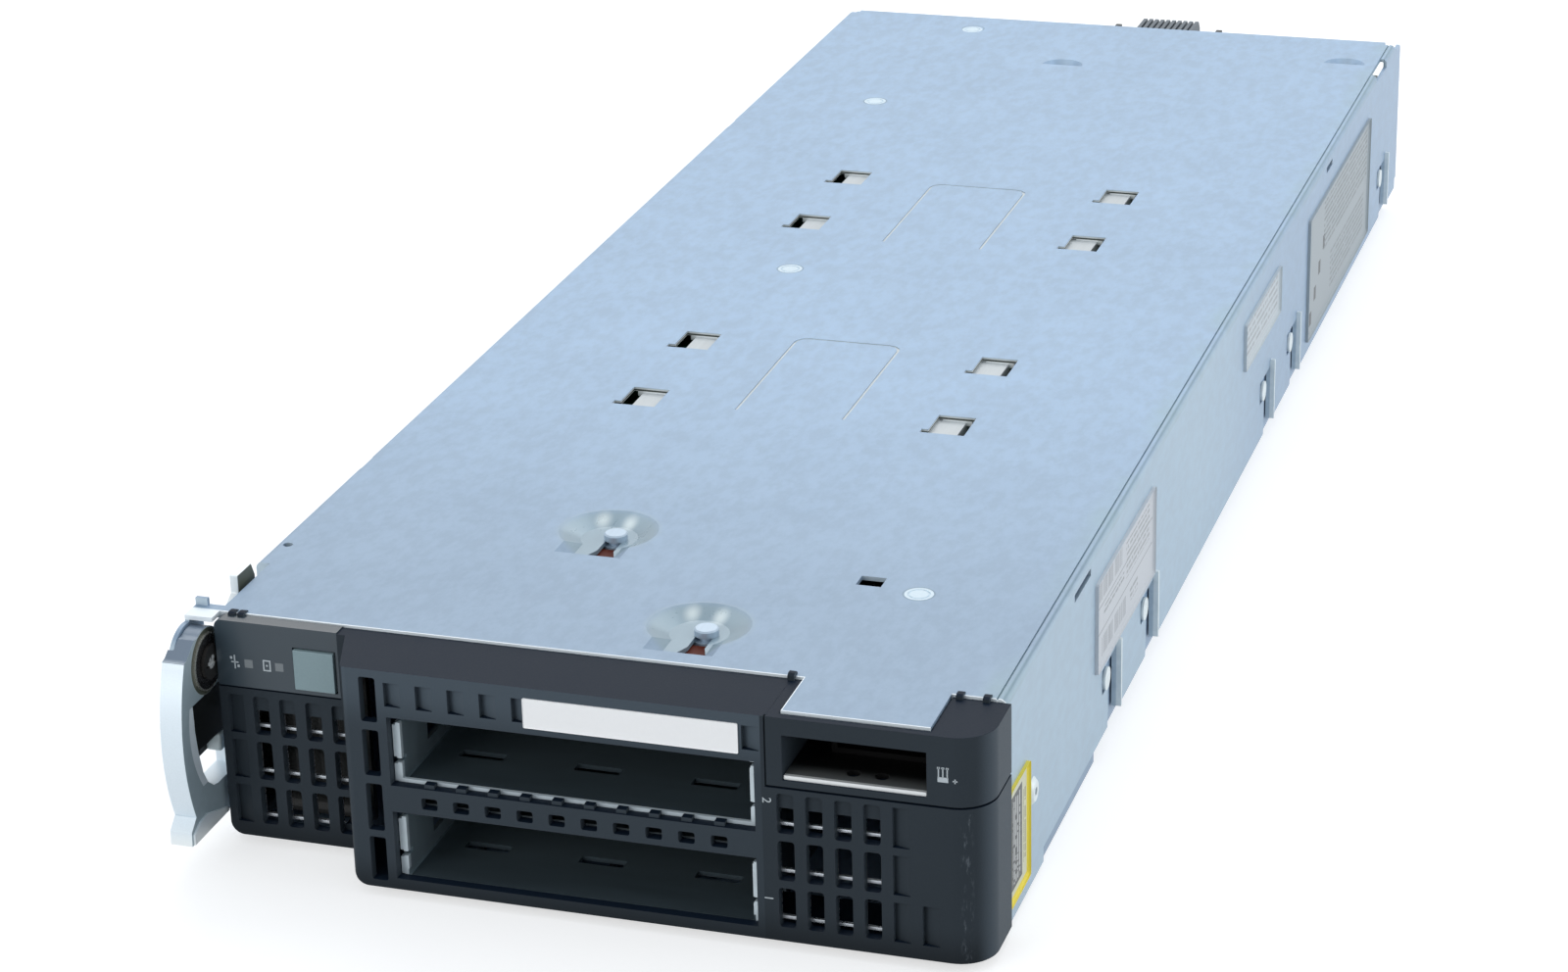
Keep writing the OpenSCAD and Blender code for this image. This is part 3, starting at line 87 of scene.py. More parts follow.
class Signal:
    """A node's output that takes part in arithmetic."""

    def __init__(self, weave: "Weave", socket: bpy.types.NodeSocket) -> None:
        """Wraps one output socket of a node tree."""
        self.weave = weave
        self.socket = socket

    def _math(self, operation: str, *values: "Value") -> "Signal":
        """Adds one Math node with its inputs in order."""
        inputs = dict(enumerate(values))
        return self.weave.node("ShaderNodeMath", {"operation": operation}, inputs)

    def __add__(self, other: "Value") -> "Signal":
        """Sum."""
        return self._math("ADD", self, other)

    __radd__ = __add__

    def __sub__(self, other: "Value") -> "Signal":
        """Difference."""
        return self._math("SUBTRACT", self, other)

    def __rsub__(self, other: "Value") -> "Signal":
        """Difference, reflected."""
        return self._math("SUBTRACT", other, self)

    def __mul__(self, other: "Value") -> "Signal":
        """Product."""
        return self._math("MULTIPLY", self, other)

    __rmul__ = __mul__

    def __mod__(self, other: "Value") -> "Signal":
        """Remainder, always positive."""
        return self._math("FLOORED_MODULO", self, other)

    def __gt__(self, other: "Value") -> "Signal":
        """1 where this is greater than the other, else 0."""
        return self._math("GREATER_THAN", self, other)

    def __lt__(self, other: "Value") -> "Signal":
        """1 where this is less than the other, else 0."""
        return self._math("LESS_THAN", self, other)

    def __abs__(self) -> "Signal":
        """Distance from zero."""
        return self._math("ABSOLUTE", self)

    def smooth(self, low: float, high: float) -> "Signal":
        """Eases from 0 at low to 1 at high."""
        inputs = {"Value": self, "From Min": low, "From Max": high}
        return self.weave.node(
            "ShaderNodeMapRange", {"interpolation_type": "SMOOTHSTEP"}, inputs
        )

    def within(self, span: Span) -> "Signal":
        """1 inside a span and 0 outside it."""
        return (self > span[0]) * (self < span[1])


Value = Union[Signal, float, int, Sequence[float]]


class Weave:
    """The node tree of one material or of the world."""

    def __init__(self, owner: Union[Material, bpy.types.World]) -> None:
        """Starts the tree of a material or a world, with its own first shader."""
        owner.use_nodes = True
        self.owner = owner
        self.tree = owner.node_tree
        kinds = {"BSDF_PRINCIPLED", "BACKGROUND"}
        self.shader = next(n for n in self.tree.nodes if n.type in kinds)

    @classmethod
    def named(cls, name: str) -> "Weave":
        """Starts a new material that holds a Principled shader."""
        return cls(bpy.data.materials.new(name))

    def node(
        self,
        kind: str,
        settings: Optional[Mapping[str, object]] = None,
        inputs: Optional[Mapping[Union[str, int], Value]] = None,
        output: Union[str, int] = 0,
    ) -> Signal:
        """Adds a node.

        Args:
            kind: The node's type.
            settings: Its properties, set before its sockets.
            inputs: Values or signals of its input sockets, by name or number.
            output: The output to return, by name or number.

        Returns:
            The chosen output.
        """
        made = self.tree.nodes.new(kind)
        for key, value in (settings or {}).items():
            setattr(made, key, value)
        for key, value in (inputs or {}).items():
            self.feed(made.inputs[key], value)
        return Signal(self, made.outputs[output])

    def feed(self, socket: bpy.types.NodeSocket, value: Value) -> None:
        """Links a signal to a socket, or sets the socket's value."""
        if isinstance(value, Signal):
            self.tree.links.new(value.socket, socket)
        elif isinstance(value, (tuple, list)) and socket.type == "RGBA":
            socket.default_value = (*value[:3], 1.0)
        else:
            socket.default_value = value

    def surface(self, inputs: Mapping[str, Value]) -> Material:
        """Feeds the Principled shader.

        Args:
            inputs: Values or signals by socket name.

        Returns:
            The finished material.
        """
        for key, value in inputs.items():
            self.feed(self.shader.inputs[key], value)
        return self.owner

    def place(self) -> Signal:
        """Position on the object, in metres."""
        return self.node("ShaderNodeTexCoord", output="Object")

    def split(self, vector: Signal) -> Tuple[Signal, Signal, Signal]:
        """The three numbers of a vector."""
        part = self.node("ShaderNodeSeparateXYZ", inputs={"Vector": vector})
        across, along, up = part.socket.node.outputs
        return Signal(self, across), Signal(self, along), Signal(self, up)

    def facing(self) -> Tuple[Signal, Signal, Signal]:
        """Direction that the surface faces, as three numbers."""
        return self.split(self.node("ShaderNodeNewGeometry", output="Normal"))

    def distance(self, one: Signal, two: Signal, centre: Span) -> Signal:
        """Distance in a plane from a centre."""
        across, up = one - centre[0], two - centre[1]
        square = across * across + up * up
        return self.node("ShaderNodeMath", {"operation": "SQRT"}, {0: square})

    def stretched(self, factors: Point) -> Signal:
        """Position scaled along each axis, for grain that runs one way."""
        inputs = {"Vector": self.place(), "Scale": factors}
        return self.node("ShaderNodeMapping", {"vector_type": "POINT"}, inputs)

    def axes(self) -> Tuple[Signal, Signal, Signal]:
        """Position on the object as three numbers."""
        x, y, z = self.split(self.place())
        return x * PER_METRE, y * PER_METRE, z * PER_METRE

    def noise(
        self, where: Signal, scale: float, detail: float = 3.0, roughness: float = 0.5
    ) -> Signal:
        """Noise from 0 to 1 with its own detail."""
        inputs = {"Vector": where, "Scale": scale, "Detail": detail, "Roughness": roughness}
        return self.node("ShaderNodeTexNoise", inputs=inputs, output="Fac")

    def cells(self, where: Signal, scale: float) -> Signal:
        """Flat random value of each cell of a Voronoi pattern, from 0 to 1."""
        inputs = {"Vector": where, "Scale": scale}
        colour = self.node("ShaderNodeTexVoronoi", {"feature": "F1"}, inputs, "Color")
        return self.node("ShaderNodeSeparateColor", inputs={"Color": colour})

    def mix(self, factor: Value, low: Value, high: Value) -> Signal:
        """Mixes two colours."""
        made = self.tree.nodes.new("ShaderNodeMix")
        made.data_type = "RGBA"
        sockets = [s for s in made.inputs if s.enabled]
        for socket, value in zip(sockets, (factor, low, high)):
            self.feed(socket, value)
        return Signal(self, next(s for s in made.outputs if s.enabled))

    def bump(self, height: Signal, depth: float, strength: float = 1.0) -> Signal:
        """Normal that follows a height from 0 to 1.

        Args:
            height: The height.
            depth: What a height of 1 stands for.
            strength: Share of the effect.

        Returns:
            The bent normal.
        """
        inputs = {"Height": height, "Distance": depth * MM, "Strength": strength}
        return self.node("ShaderNodeBump", inputs=inputs)

    def shades(self, tone: Value, colour: Colour, low: float, high: float) -> Signal:
        """A colour that goes from one factor of itself to another with a tone."""
        return self.mix(tone, shade(colour, low), shade(colour, high))


def shade(colour: Colour, factor: float) -> Colour:
    """Lightens or darkens a colour by a factor."""
    return tuple(min(1.0, channel * factor) for channel in colour)


# ---- finishes


@dataclass(frozen=True)
class ZincSheet:
    """Zinc-coated steel sheet with cloudy crystals, and painted light and shade: shade and
    highlights in the dishes, shade in the creases and towards the front, highlights on the cut
    front edges, light on the side wall, flanges, front faces and window lips.

    A pair of colours is the dark and the light end of a tone.
    """

    name: str = "zinc_sheet"
    colour: Colour = (0.314, 0.440, 0.594)
    # painted shade inside the keyhole dishes
    dish_shade_colour: Colour = (0.250, 0.340, 0.370)
    # painted shade towards the front of the top sheet
    front_shade_colours: Pair = ((0.202, 0.286, 0.388), (0.280, 0.374, 0.486))
    # painted light on the side wall, changing from front to rear
    wall_light_colours: Pair = ((0.385, 0.500, 0.600), (0.450, 0.585, 0.690))
    rear_wall_light_colours: Pair = ((0.300, 0.410, 0.545), (0.375, 0.495, 0.640))
    # painted light on faces that face the front
    front_facing_light_colours: Pair = ((0.48, 0.58, 0.64), (0.62, 0.72, 0.78))
    # painted light on the outward flanges
    flange_light_colours: Pair = ((0.70, 0.78, 0.80), (0.86, 0.93, 0.95))
    # painted shade in the creases beside the bend
    crease_shade_colour: Colour = (0.17, 0.26, 0.32)
    smear_colour: Colour = (0.27, 0.39, 0.42)
    # painted highlights on the slopes of the dishes
    dish_highlight_colour: Colour = (0.80, 0.88, 0.88)
    ring_colour: Colour = (0.16, 0.24, 0.30)
    # painted light on the window tabs and upper window walls, with a painted shade line between
    lip_painted_light: Colour = (0.86, 0.90, 0.90)
    lip_painted_shade: Colour = (0.05, 0.06, 0.05)
    lip_wall_light: Colour = (0.62, 0.66, 0.66)
    # painted highlight along the front edge of the sheet
    edge_colour: Colour = (0.86, 0.92, 0.95)
    metallic: float = 0.2
    roughness: float = 0.46
    crystal_scale: float = 330.0
    dishes: Tuple[Span, ...] = ((-17.3, -170.0), (18.4, -212.8))
    dish_low: float = 49.0
    rivets: Tuple[Span, ...] = (
        (-44.0, 238.1), (-52.4, 155.8), (-32.0, 6.1), (57.3, -186.2),
    )
    creases: Tuple[Span, ...] = ((86.4, 0.45), (87.55, 0.35))
    skin: float = 51.5
    flange: float = 88.4
    front: float = -231.8
    tongue: Span = (46.0, 76.95)
    tongue_front: float = -247.7

    @staticmethod
    def spot(weave: Weave, x: Signal, y: Signal, squeeze: float, centre: Span) -> Signal:
        """Distance from a centre in a plane that is squeezed along the sheet."""
        return weave.distance(x, y * squeeze, (centre[0], centre[1] * squeeze))

    def dish_light(self, weave: Weave, x: Signal, y: Signal, z: Signal) -> Tuple[Signal, Signal]:
        """Painted shade and painted highlights in the keyhole dishes of the top sheet.

        Args:
            weave: The material's tree.
            x: Place across.
            y: Place along.
            z: Height.

        Returns:
            Share of painted shade, and share of painted highlight.
        """
        dish_shade, bright = z * 0.0, z * 0.0
        for across, along in self.dishes:
            near = weave.distance(x, y, (across - 1.6, along)).smooth(9.5, 12.6)
            dish_shade = dish_shade + (1.0 - near)
            for offset in (-5.6, 0.6):
                far = self.spot(weave, x, y, 0.7, (across + offset, along + 7.4))
                bright = bright + (1.0 - far.smooth(0.0, 2.6)) * 0.6
            far = self.spot(weave, x, y, 0.6, (across - 2.6, along + 7.0))
            bright = bright * (1.0 - (1.0 - far.smooth(0.3, 1.9)) * 0.8)
        top = z > self.dish_low
        return dish_shade * top, bright * top

    def make(self) -> Material:
        """Builds the material."""
        weave = Weave.named(self.name)
        place = weave.place()
        x, y, z = weave.axes()
        grit = weave.noise(place, 1700.0, 2.0)
        grown = weave.stretched((1.0, 0.55, 1.0))
        crystal = weave.noise(grown, self.crystal_scale, 5.0, 0.62)
        cloud = weave.noise(place, 34.0, 4.0, 0.6)
        stain = weave.noise(place, 9.0, 3.0, 0.5)
        tone = crystal.smooth(0.32, 0.68) * 0.56 + cloud.smooth(0.3, 0.7) * 0.16
        tone = tone + stain * 0.14 + grit * 0.14
        colour = weave.shades(tone, self.colour, 0.86, 1.13)
        # painted shade that grows towards the front of the sheet
        painted_front_light = y.smooth(-40.0, -236.0)
        colour = weave.mix(painted_front_light * 0.85, colour, weave.mix(tone, *self.front_shade_colours))
        # painted light on the side wall, paler than the top and changing towards the rear
        rear = weave.mix(tone, *self.rear_wall_light_colours)
        side = weave.mix(y.smooth(-50.0, 90.0), weave.mix(tone, *self.wall_light_colours), rear)
        colour = weave.mix(x.smooth(87.6, 88.2) * 0.85, colour, side)
        # painted light on faces that face the front
        _, along, _ = weave.facing()
        painted_front_light = (0.0 - along).smooth(0.5, 0.9)
        colour = weave.mix(painted_front_light * 0.8, colour, weave.mix(tone, *self.front_facing_light_colours))
        # painted light on the outward flanges
        colour = weave.mix(x > self.flange, colour, weave.mix(tone, *self.flange_light_colours))
        top = z > self.skin
        # painted shade along the creases beside the bend
        for at, width in self.creases:
            line = 1.0 - abs(x - at).smooth(width * 0.3, width)
            colour = weave.mix(line * top * (0.3 + cloud * 0.5), colour, self.crease_shade_colour)
        smear = (1.0 - abs(x - 86.0).smooth(1.0, 5.5)) * cloud.smooth(0.35, 0.75) * top
        colour = weave.mix(smear * 0.55, colour, self.smear_colour)
        dish_shade, bright = self.dish_light(weave, x, y, z)
        # painted shade in the dishes, then painted highlights on their slopes
        colour = weave.mix(dish_shade * 0.62, colour, self.dish_shade_colour)
        colour = weave.mix(bright, colour, self.dish_highlight_colour)
        for centre in self.rivets:
            radius = weave.distance(x, y, centre)
            ring = radius.smooth(3.1, 3.3) * (1.0 - radius.smooth(3.45, 3.75)) * top
            colour = weave.mix(ring * 0.6, colour, self.ring_colour)
        # window lips: painted light on the tabs and upper walls, a painted shade line between
        inner = (abs(x) < 60.0) * y.within((-110.0, 110.0)) * z.within((51.0, 53.3))
        lip = weave.mix(z > 52.6, self.lip_painted_light, self.lip_painted_shade)
        colour = weave.mix(inner, colour, weave.mix(z > 52.95, lip, self.lip_wall_light))
        # painted highlight along the front edge of the sheet and of its tongue
        tongue = x.within(self.tongue)
        rim = (y < self.front + 0.35) * (1.0 - tongue)
        rim = rim + (y < self.tongue_front + 0.3) * tongue
        colour = weave.mix(rim * (z > 52.4) * 0.9, colour, self.edge_colour)
        rolled = weave.noise(weave.stretched((900.0, 30.0, 900.0)), 1.0, 2.0)
        rough = (crystal - 0.5) * 0.2 + (rolled - 0.5) * 0.06 - dish_shade * 0.16
        return weave.surface({
            "Base Color": colour,
            "Metallic": self.metallic,
            "Roughness": self.roughness + rough,
            "Normal": weave.bump(crystal * 0.7 + rolled * 0.3, 0.02, 0.45),
        })


@dataclass(frozen=True)
class BareSteel:
    """Bright bare steel with drawn lines."""

    name: str
    colour: Colour
    roughness: float = 0.28
    metallic: float = 0.85
    grain: Point = (1200.0, 60.0, 1200.0)

    def make(self) -> Material:
        """Builds the material."""
        weave = Weave.named(self.name)
        lines = weave.noise(weave.stretched(self.grain), 1.0, 3.0)
        blotch = weave.noise(weave.place(), 90.0, 3.0)
        tone = lines * 0.6 + blotch * 0.4
        return weave.surface({
            "Base Color": weave.shades(tone, self.colour, 0.82, 1.1),
            "Metallic": self.metallic,
            "Roughness": self.roughness + (tone - 0.5) * 0.2,
            "Normal": weave.bump(lines, 0.01, 0.4),
        })


@dataclass(frozen=True)
class MouldedPlastic:
    """Moulded plastic with a fine spark-eroded texture."""

    name: str
    colour: Colour
    roughness: float = 0.55
    texture_scale: float = 2600.0
    texture_depth: float = 0.03
    specular: float = 0.3

    def make(self) -> Material:
        """Builds the material."""
        weave = Weave.named(self.name)
        place = weave.place()
        pits = weave.noise(place, self.texture_scale, 2.0)
        cloud = weave.noise(place, 55.0, 3.0)
        return weave.surface({
            "Specular IOR Level": self.specular,
            "Base Color": weave.shades(pits * 0.4 + cloud * 0.6, self.colour, 0.86, 1.14),
            "Roughness": self.roughness + (pits - 0.5) * 0.14 + (cloud - 0.5) * 0.06,
            "Normal": weave.bump(pits, self.texture_depth, 0.6),
        })


@dataclass(frozen=True)
class GlossPlastic:
    """Polished plastic with faint handling marks."""

    name: str
    colour: Colour
    roughness: float = 0.16
    coat: float = 0.5

    def make(self) -> Material:
        """Builds the material."""
        weave = Weave.named(self.name)
        place = weave.place()
        smear = weave.noise(place, 120.0, 4.0, 0.6)
        return weave.surface({
            "Coat Roughness": 0.08,
            "Base Color": weave.shades(smear, self.colour, 0.92, 1.08),
            "Roughness": self.roughness + smear * 0.1,
            "Coat Weight": self.coat,
        })


@dataclass(frozen=True)
class CastPaint:
    """Satin silver paint over a casting."""

    name: str
    colour: Colour
    roughness: float = 0.36
    metallic: float = 0.3

    def make(self) -> Material:
        """Builds the material."""
        weave = Weave.named(self.name)
        place = weave.place()
        flake = weave.noise(place, 3200.0, 2.0)
        peel = weave.noise(place, 420.0, 2.0)
        return weave.surface({
            "Base Color": weave.shades(flake, self.colour, 0.92, 1.08),
            "Metallic": self.metallic,
            "Roughness": self.roughness + (flake - 0.5) * 0.12,
            "Normal": weave.bump(peel, 0.02, 0.4),
        })


@dataclass(frozen=True)
class LeverPaint:
    """Pale satin paint of the release lever, with painted shade on its top and its inner side, and
    painted light on its foot.
    """

    name: str = "lever_paint"
    colour: Colour = (0.80, 0.89, 0.95)
    # painted shade on the upward faces of the top
    top_shade_colour: Colour = (0.160, 0.210, 0.275)
    # painted shade on the inner side
    side_colour: Colour = (0.400, 0.500, 0.550)
    # painted light on the foot
    foot_light_colour: Colour = (0.95, 1.0, 1.0)
    inner_side: float = -86.2
    slot_front: float = -245.4
    slot: Span = (17.3, 37.0)
    bow_mid: float = 30.5
    bow: float = 0.0235
    roughness: float = 0.36

    def make(self) -> Material:
        """Builds the material."""
        weave = Weave.named(self.name)
        x, y, z = weave.axes()
        right, _, up = weave.facing()
        flake = weave.noise(weave.place(), 3200.0, 2.0)
        peel = weave.noise(weave.place(), 420.0, 2.0)
        paint = weave.shades(flake, self.colour, 0.95, 1.05)
        # painted light on the foot
        paint = weave.mix(1.0 - z.smooth(6.0, 11.0), paint, self.foot_light_colour)
        # painted shade on upward faces near the top
        above = up.smooth(0.25, 0.8) * z.smooth(40.0, 46.0)
        paint = weave.mix(above, paint, self.top_shade_colour)
        side = weave.shades(peel, self.side_colour, 0.9, 1.1)
        # painted shade on the inner side, except at the slot's front rim
        inner = right.smooth(0.3, 0.8) * (1.0 - abs(x - self.inner_side).smooth(0.3, 0.45))
        bowed = y - (z - self.bow_mid) * (z - self.bow_mid) * self.bow
        rim = bowed.within((self.slot_front - 2.5, self.slot_front + 0.5))
        rim = rim * z.within(self.slot)
        return weave.surface({
            "Base Color": weave.mix(inner * (1.0 - rim), paint, side),
            "Metallic": 0.12,
            "Roughness": self.roughness + (flake - 0.5) * 0.12,
            "Normal": weave.bump(peel, 0.02, 0.4),
        })


@dataclass(frozen=True)
class ClawSteel:
    """Stamped claw: pale plated faces in front, darker sheared sides."""

    name: str = "claw_steel"
    colour: Colour = (0.84, 0.90, 0.92)
    side_colour: Colour = (0.075, 0.085, 0.065)

    def make(self) -> Material:
        """Builds the material."""
        weave = Weave.named(self.name)
        right, _, _ = weave.facing()
        lines = weave.noise(weave.stretched((1200.0, 90.0, 90.0)), 1.0, 3.0)
        sheared = weave.shades(lines, self.side_colour, 0.7, 1.5)
        plated = weave.shades(lines, self.colour, 0.94, 1.04)
        return weave.surface({
            "Base Color": weave.mix(right.smooth(0.5, 0.9), plated, sheared),
            "Metallic": 0.25,
            "Roughness": 0.34 + lines * 0.12,
            "Normal": weave.bump(lines, 0.02, 0.5),
        })


@dataclass(frozen=True)
class CageSteel:
    """Polished steel of the drive cage, painted dark for the shade inside the bays, with bright
    cut front edges, painted shade deeper in, and painted light on the left inner wall and across
    the floors near the front.
    """

    name: str = "cage_steel"
    # dark steel, darkened further as painted shade inside the bays
    colour: Colour = (0.082, 0.112, 0.130)
    # painted light on the left inner wall near the front
    wall_light_colours: Pair = ((0.22, 0.29, 0.33), (0.36, 0.45, 0.50))
    lit_colour: Colour = (0.21, 0.27, 0.30)
    edge_colour: Colour = (0.66, 0.75, 0.80)
    front: float = -247.5
    rim: float = 1.15
    hem: float = -38.75
    wall: float = -37.2
    bay: Span = (-37.9, 39.2)
    floor: float = 6.0

    def make(self) -> Material:
        """Builds the material."""
        weave = Weave.named(self.name)
        x, y, z = weave.axes()
        sheen = weave.noise(weave.stretched((30.0, 220.0, 60.0)), 1.0, 4.0)
        spot = weave.noise(weave.place(), 240.0, 3.0)
        body = weave.shades(sheen, self.colour, 0.75, 1.35)
        # painted shade deeper in the bays
        bay_shade = y.smooth(-200.0, -140.0)
        body = weave.mix(bay_shade * 0.5, body, shade(self.colour, 0.35))
        # painted light on the left inner wall, fading with depth
        shallow = 1.0 - y.smooth(-246.0, -196.0)
        wall = weave.mix(sheen, *self.wall_light_colours)
        body = weave.mix((x < self.wall) * shallow, body, wall)
        # painted light in a band across the upward faces near the front
        _, _, up = weave.facing()
        lit = (up > 0.5) * y.within((-243.0, -150.0))
        lit = lit * (1.0 - abs(y + 215.0).smooth(4.0, 28.0))
        body = weave.mix(lit * 0.55, body, self.lit_colour)
        floor = x.within(self.bay) * (z < self.floor)
        rim = (y < self.front + self.rim) * (1.0 - floor)
        hem = (x < self.hem) * (y < self.front + 5.2)
        edge = weave.shades(spot, self.edge_colour, 0.8, 1.1)
        bright = weave.node("ShaderNodeMath", {"operation": "MAXIMUM"}, {0: rim, 1: hem})
        return weave.surface({
            "Base Color": weave.mix(bright, body, edge),
            "Metallic": 0.45 - bright * 0.25,
            "Roughness": 0.27 + sheen * 0.16 + bright * 0.1,
            "Normal": weave.bump(sheen, 0.02, 0.4),
        })


@dataclass(frozen=True)
class SillSteel:
    """Steel sill of the adapter recess: bright along its front edge, with painted shade that
    deepens into the recess.
    """

    name: str = "sill_steel"
    edge_colour: Colour = (0.80, 0.82, 0.82)
    # painted shade inside the recess, from its mouth to its depth
    recess_shade_colours: Pair = ((0.17, 0.18, 0.18), (0.004, 0.004, 0.004))
    front: float = -249.5

    def make(self) -> Material:
        """Builds the material."""
        weave = Weave.named(self.name)
        _, y, _ = weave.axes()
        lines = weave.noise(weave.stretched((60.0, 900.0, 60.0)), 1.0, 3.0)
        # painted shade that deepens into the recess
        depth = y.smooth(self.front + 1.0, self.front + 6.5)
        inside = weave.mix(depth, *self.recess_shade_colours)
        return weave.surface({
            "Base Color": weave.mix(y < self.front + 0.9, inside, self.edge_colour),
            "Metallic": 0.3,
            "Roughness": 0.3 + lines * 0.15,
        })


@dataclass(frozen=True)
class PivotScrew:
    """Black pivot screw with a worn bright middle."""

    name: str = "pivot_screw"
    colour: Colour = (0.014, 0.013, 0.012)
    worn_colour: Colour = (0.82, 0.84, 0.84)
    pivot: Span = PIVOT

    def make(self) -> Material:
        """Builds the material."""
        weave = Weave.named(self.name)
        _, y, z = weave.axes()
        chips = weave.noise(weave.place(), 950.0, 4.0, 0.7)
        middle = 1.0 - weave.distance(y, z, self.pivot).smooth(0.9, 2.4)
        bright = (middle * chips).smooth(0.28, 0.46)
        return weave.surface({
            "Base Color": weave.mix(bright, self.colour, self.worn_colour),
            "Metallic": bright * 0.5,
            "Roughness": 0.26 + chips * 0.1,
        })


@dataclass(frozen=True)
class BezelPlastic:
    """Charcoal bezel plastic with a fine texture and a rubbed right corner, with painted light on
    the nose and on right-facing faces, and painted shade on upward faces and towards the bottom.
    """

    name: str = "bezel_plastic"
    colour: Colour = (0.0310, 0.0400, 0.0490)
    # painted light on faces that face right
    right_light_colours: Pair = ((0.052, 0.068, 0.084), (0.066, 0.084, 0.102))
    # painted shade on upward faces
    top_shade_colours: Pair = ((0.0060, 0.0130, 0.0250), (0.0110, 0.0190, 0.0340))
    scuff_colour: Colour = (0.20, 0.23, 0.26)
    nose: Span = (-49.0, 42.0)
    scuffed: Span = (3.0, 36.0)
    corner: float = 84.7
    face: float = -232.5
    specular: float = 0.075
    roughness: float = 0.5

    def make(self) -> Material:
        """Builds the material."""
        weave = Weave.named(self.name)
        place = weave.place()
        x, y, z = weave.axes()
        pits = weave.noise(place, 2600.0, 2.0)
        cloud = weave.noise(place, 45.0, 4.0)
        tone = pits * 0.4 + cloud * 0.6
        # painted shade towards the bottom
        low = 1.0 - z.smooth(0.5, 11.0)
        colour = weave.shades(tone, self.colour, 0.84, 1.16)
        # painted light on the nose, strongest towards its top
        nose = x.within(self.nose)
        nose_light = z.smooth(38.0, 50.0) * 0.75 + 0.25
        colour = weave.mix(nose * nose_light, colour, shade(self.colour, 2.3))
        colour = weave.mix(low * 0.8, colour, shade(self.colour, 0.3))
        # painted light on right-facing faces, painted shade on upward faces
        right, _, up = weave.facing()
        for way, pair in ((right, self.right_light_colours), (up, self.top_shade_colours)):
            colour = weave.mix(way.smooth(0.6, 0.95), colour, weave.mix(tone, *pair))
        rub = weave.noise(weave.stretched((900.0, 900.0, 260.0)), 1.0, 4.0, 0.7)
        corner = 1.0 - abs(x - self.corner).smooth(0.3, 1.5)
        fleck = weave.noise(weave.stretched((300.0, 300.0, 300.0)), 1.0, 5.0, 0.75)
        scuff = corner * rub.smooth(0.5, 0.72) * z.within(self.scuffed) * 0.55
        scuff = scuff + (fleck > 0.735) * 0.3
        return weave.surface({
            "Specular IOR Level": self.specular,
            "Base Color": weave.mix(scuff * (y < self.face), colour, self.scuff_colour),
            "Roughness": self.roughness + (pits - 0.5) * 0.14 + (cloud - 0.5) * 0.06,
            "Normal": weave.bump(pits, 0.03, 0.6),
        })


@dataclass(frozen=True)
class WasherEnamel:
    """Black enamelled washer whose rim is worn bright."""

    name: str = "washer_enamel"
    colour: Colour = (0.010, 0.010, 0.011)
    worn_colour: Colour = (0.50, 0.50, 0.46)
    pivot: Span = PIVOT
    rim: float = 6.0

    def make(self) -> Material:
        """Builds the material."""
        weave = Weave.named(self.name)
        _, y, z = weave.axes()
        wear = weave.noise(weave.place(), 700.0, 3.0)
        bright = weave.distance(y, z, self.pivot).smooth(self.rim, self.rim + 0.2)
        return weave.surface({
            "Base Color": weave.mix(bright, self.colour, self.worn_colour),
            "Metallic": bright * 0.8,
            "Roughness": 0.22 + wear * 0.1,
        })


@dataclass(frozen=True)
class SolderMask:
    """Circuit board with traces under its green mask."""

    name: str = "solder_mask"
    colour: Colour = (0.02, 0.13, 0.06)
    trace_pitch: float = 1.3
    trace_gap: float = 0.8

    def make(self) -> Material:
        """Builds the material."""
        weave = Weave.named(self.name)
        x, y, z = weave.axes()
        blocks = weave.cells(weave.place(), 70.0)
        along, across = ((axis + z) % self.trace_pitch > self.trace_gap for axis in (x, y))
        copper = (blocks > 0.45) * along + (blocks < 0.45) * across
        return weave.surface({
            "Base Color": weave.mix(copper, self.colour, shade(self.colour, 1.9)),
            "Roughness": 0.3,
            "Coat Weight": 0.3,
            "Normal": weave.bump(copper, 0.03, 0.5),
        })


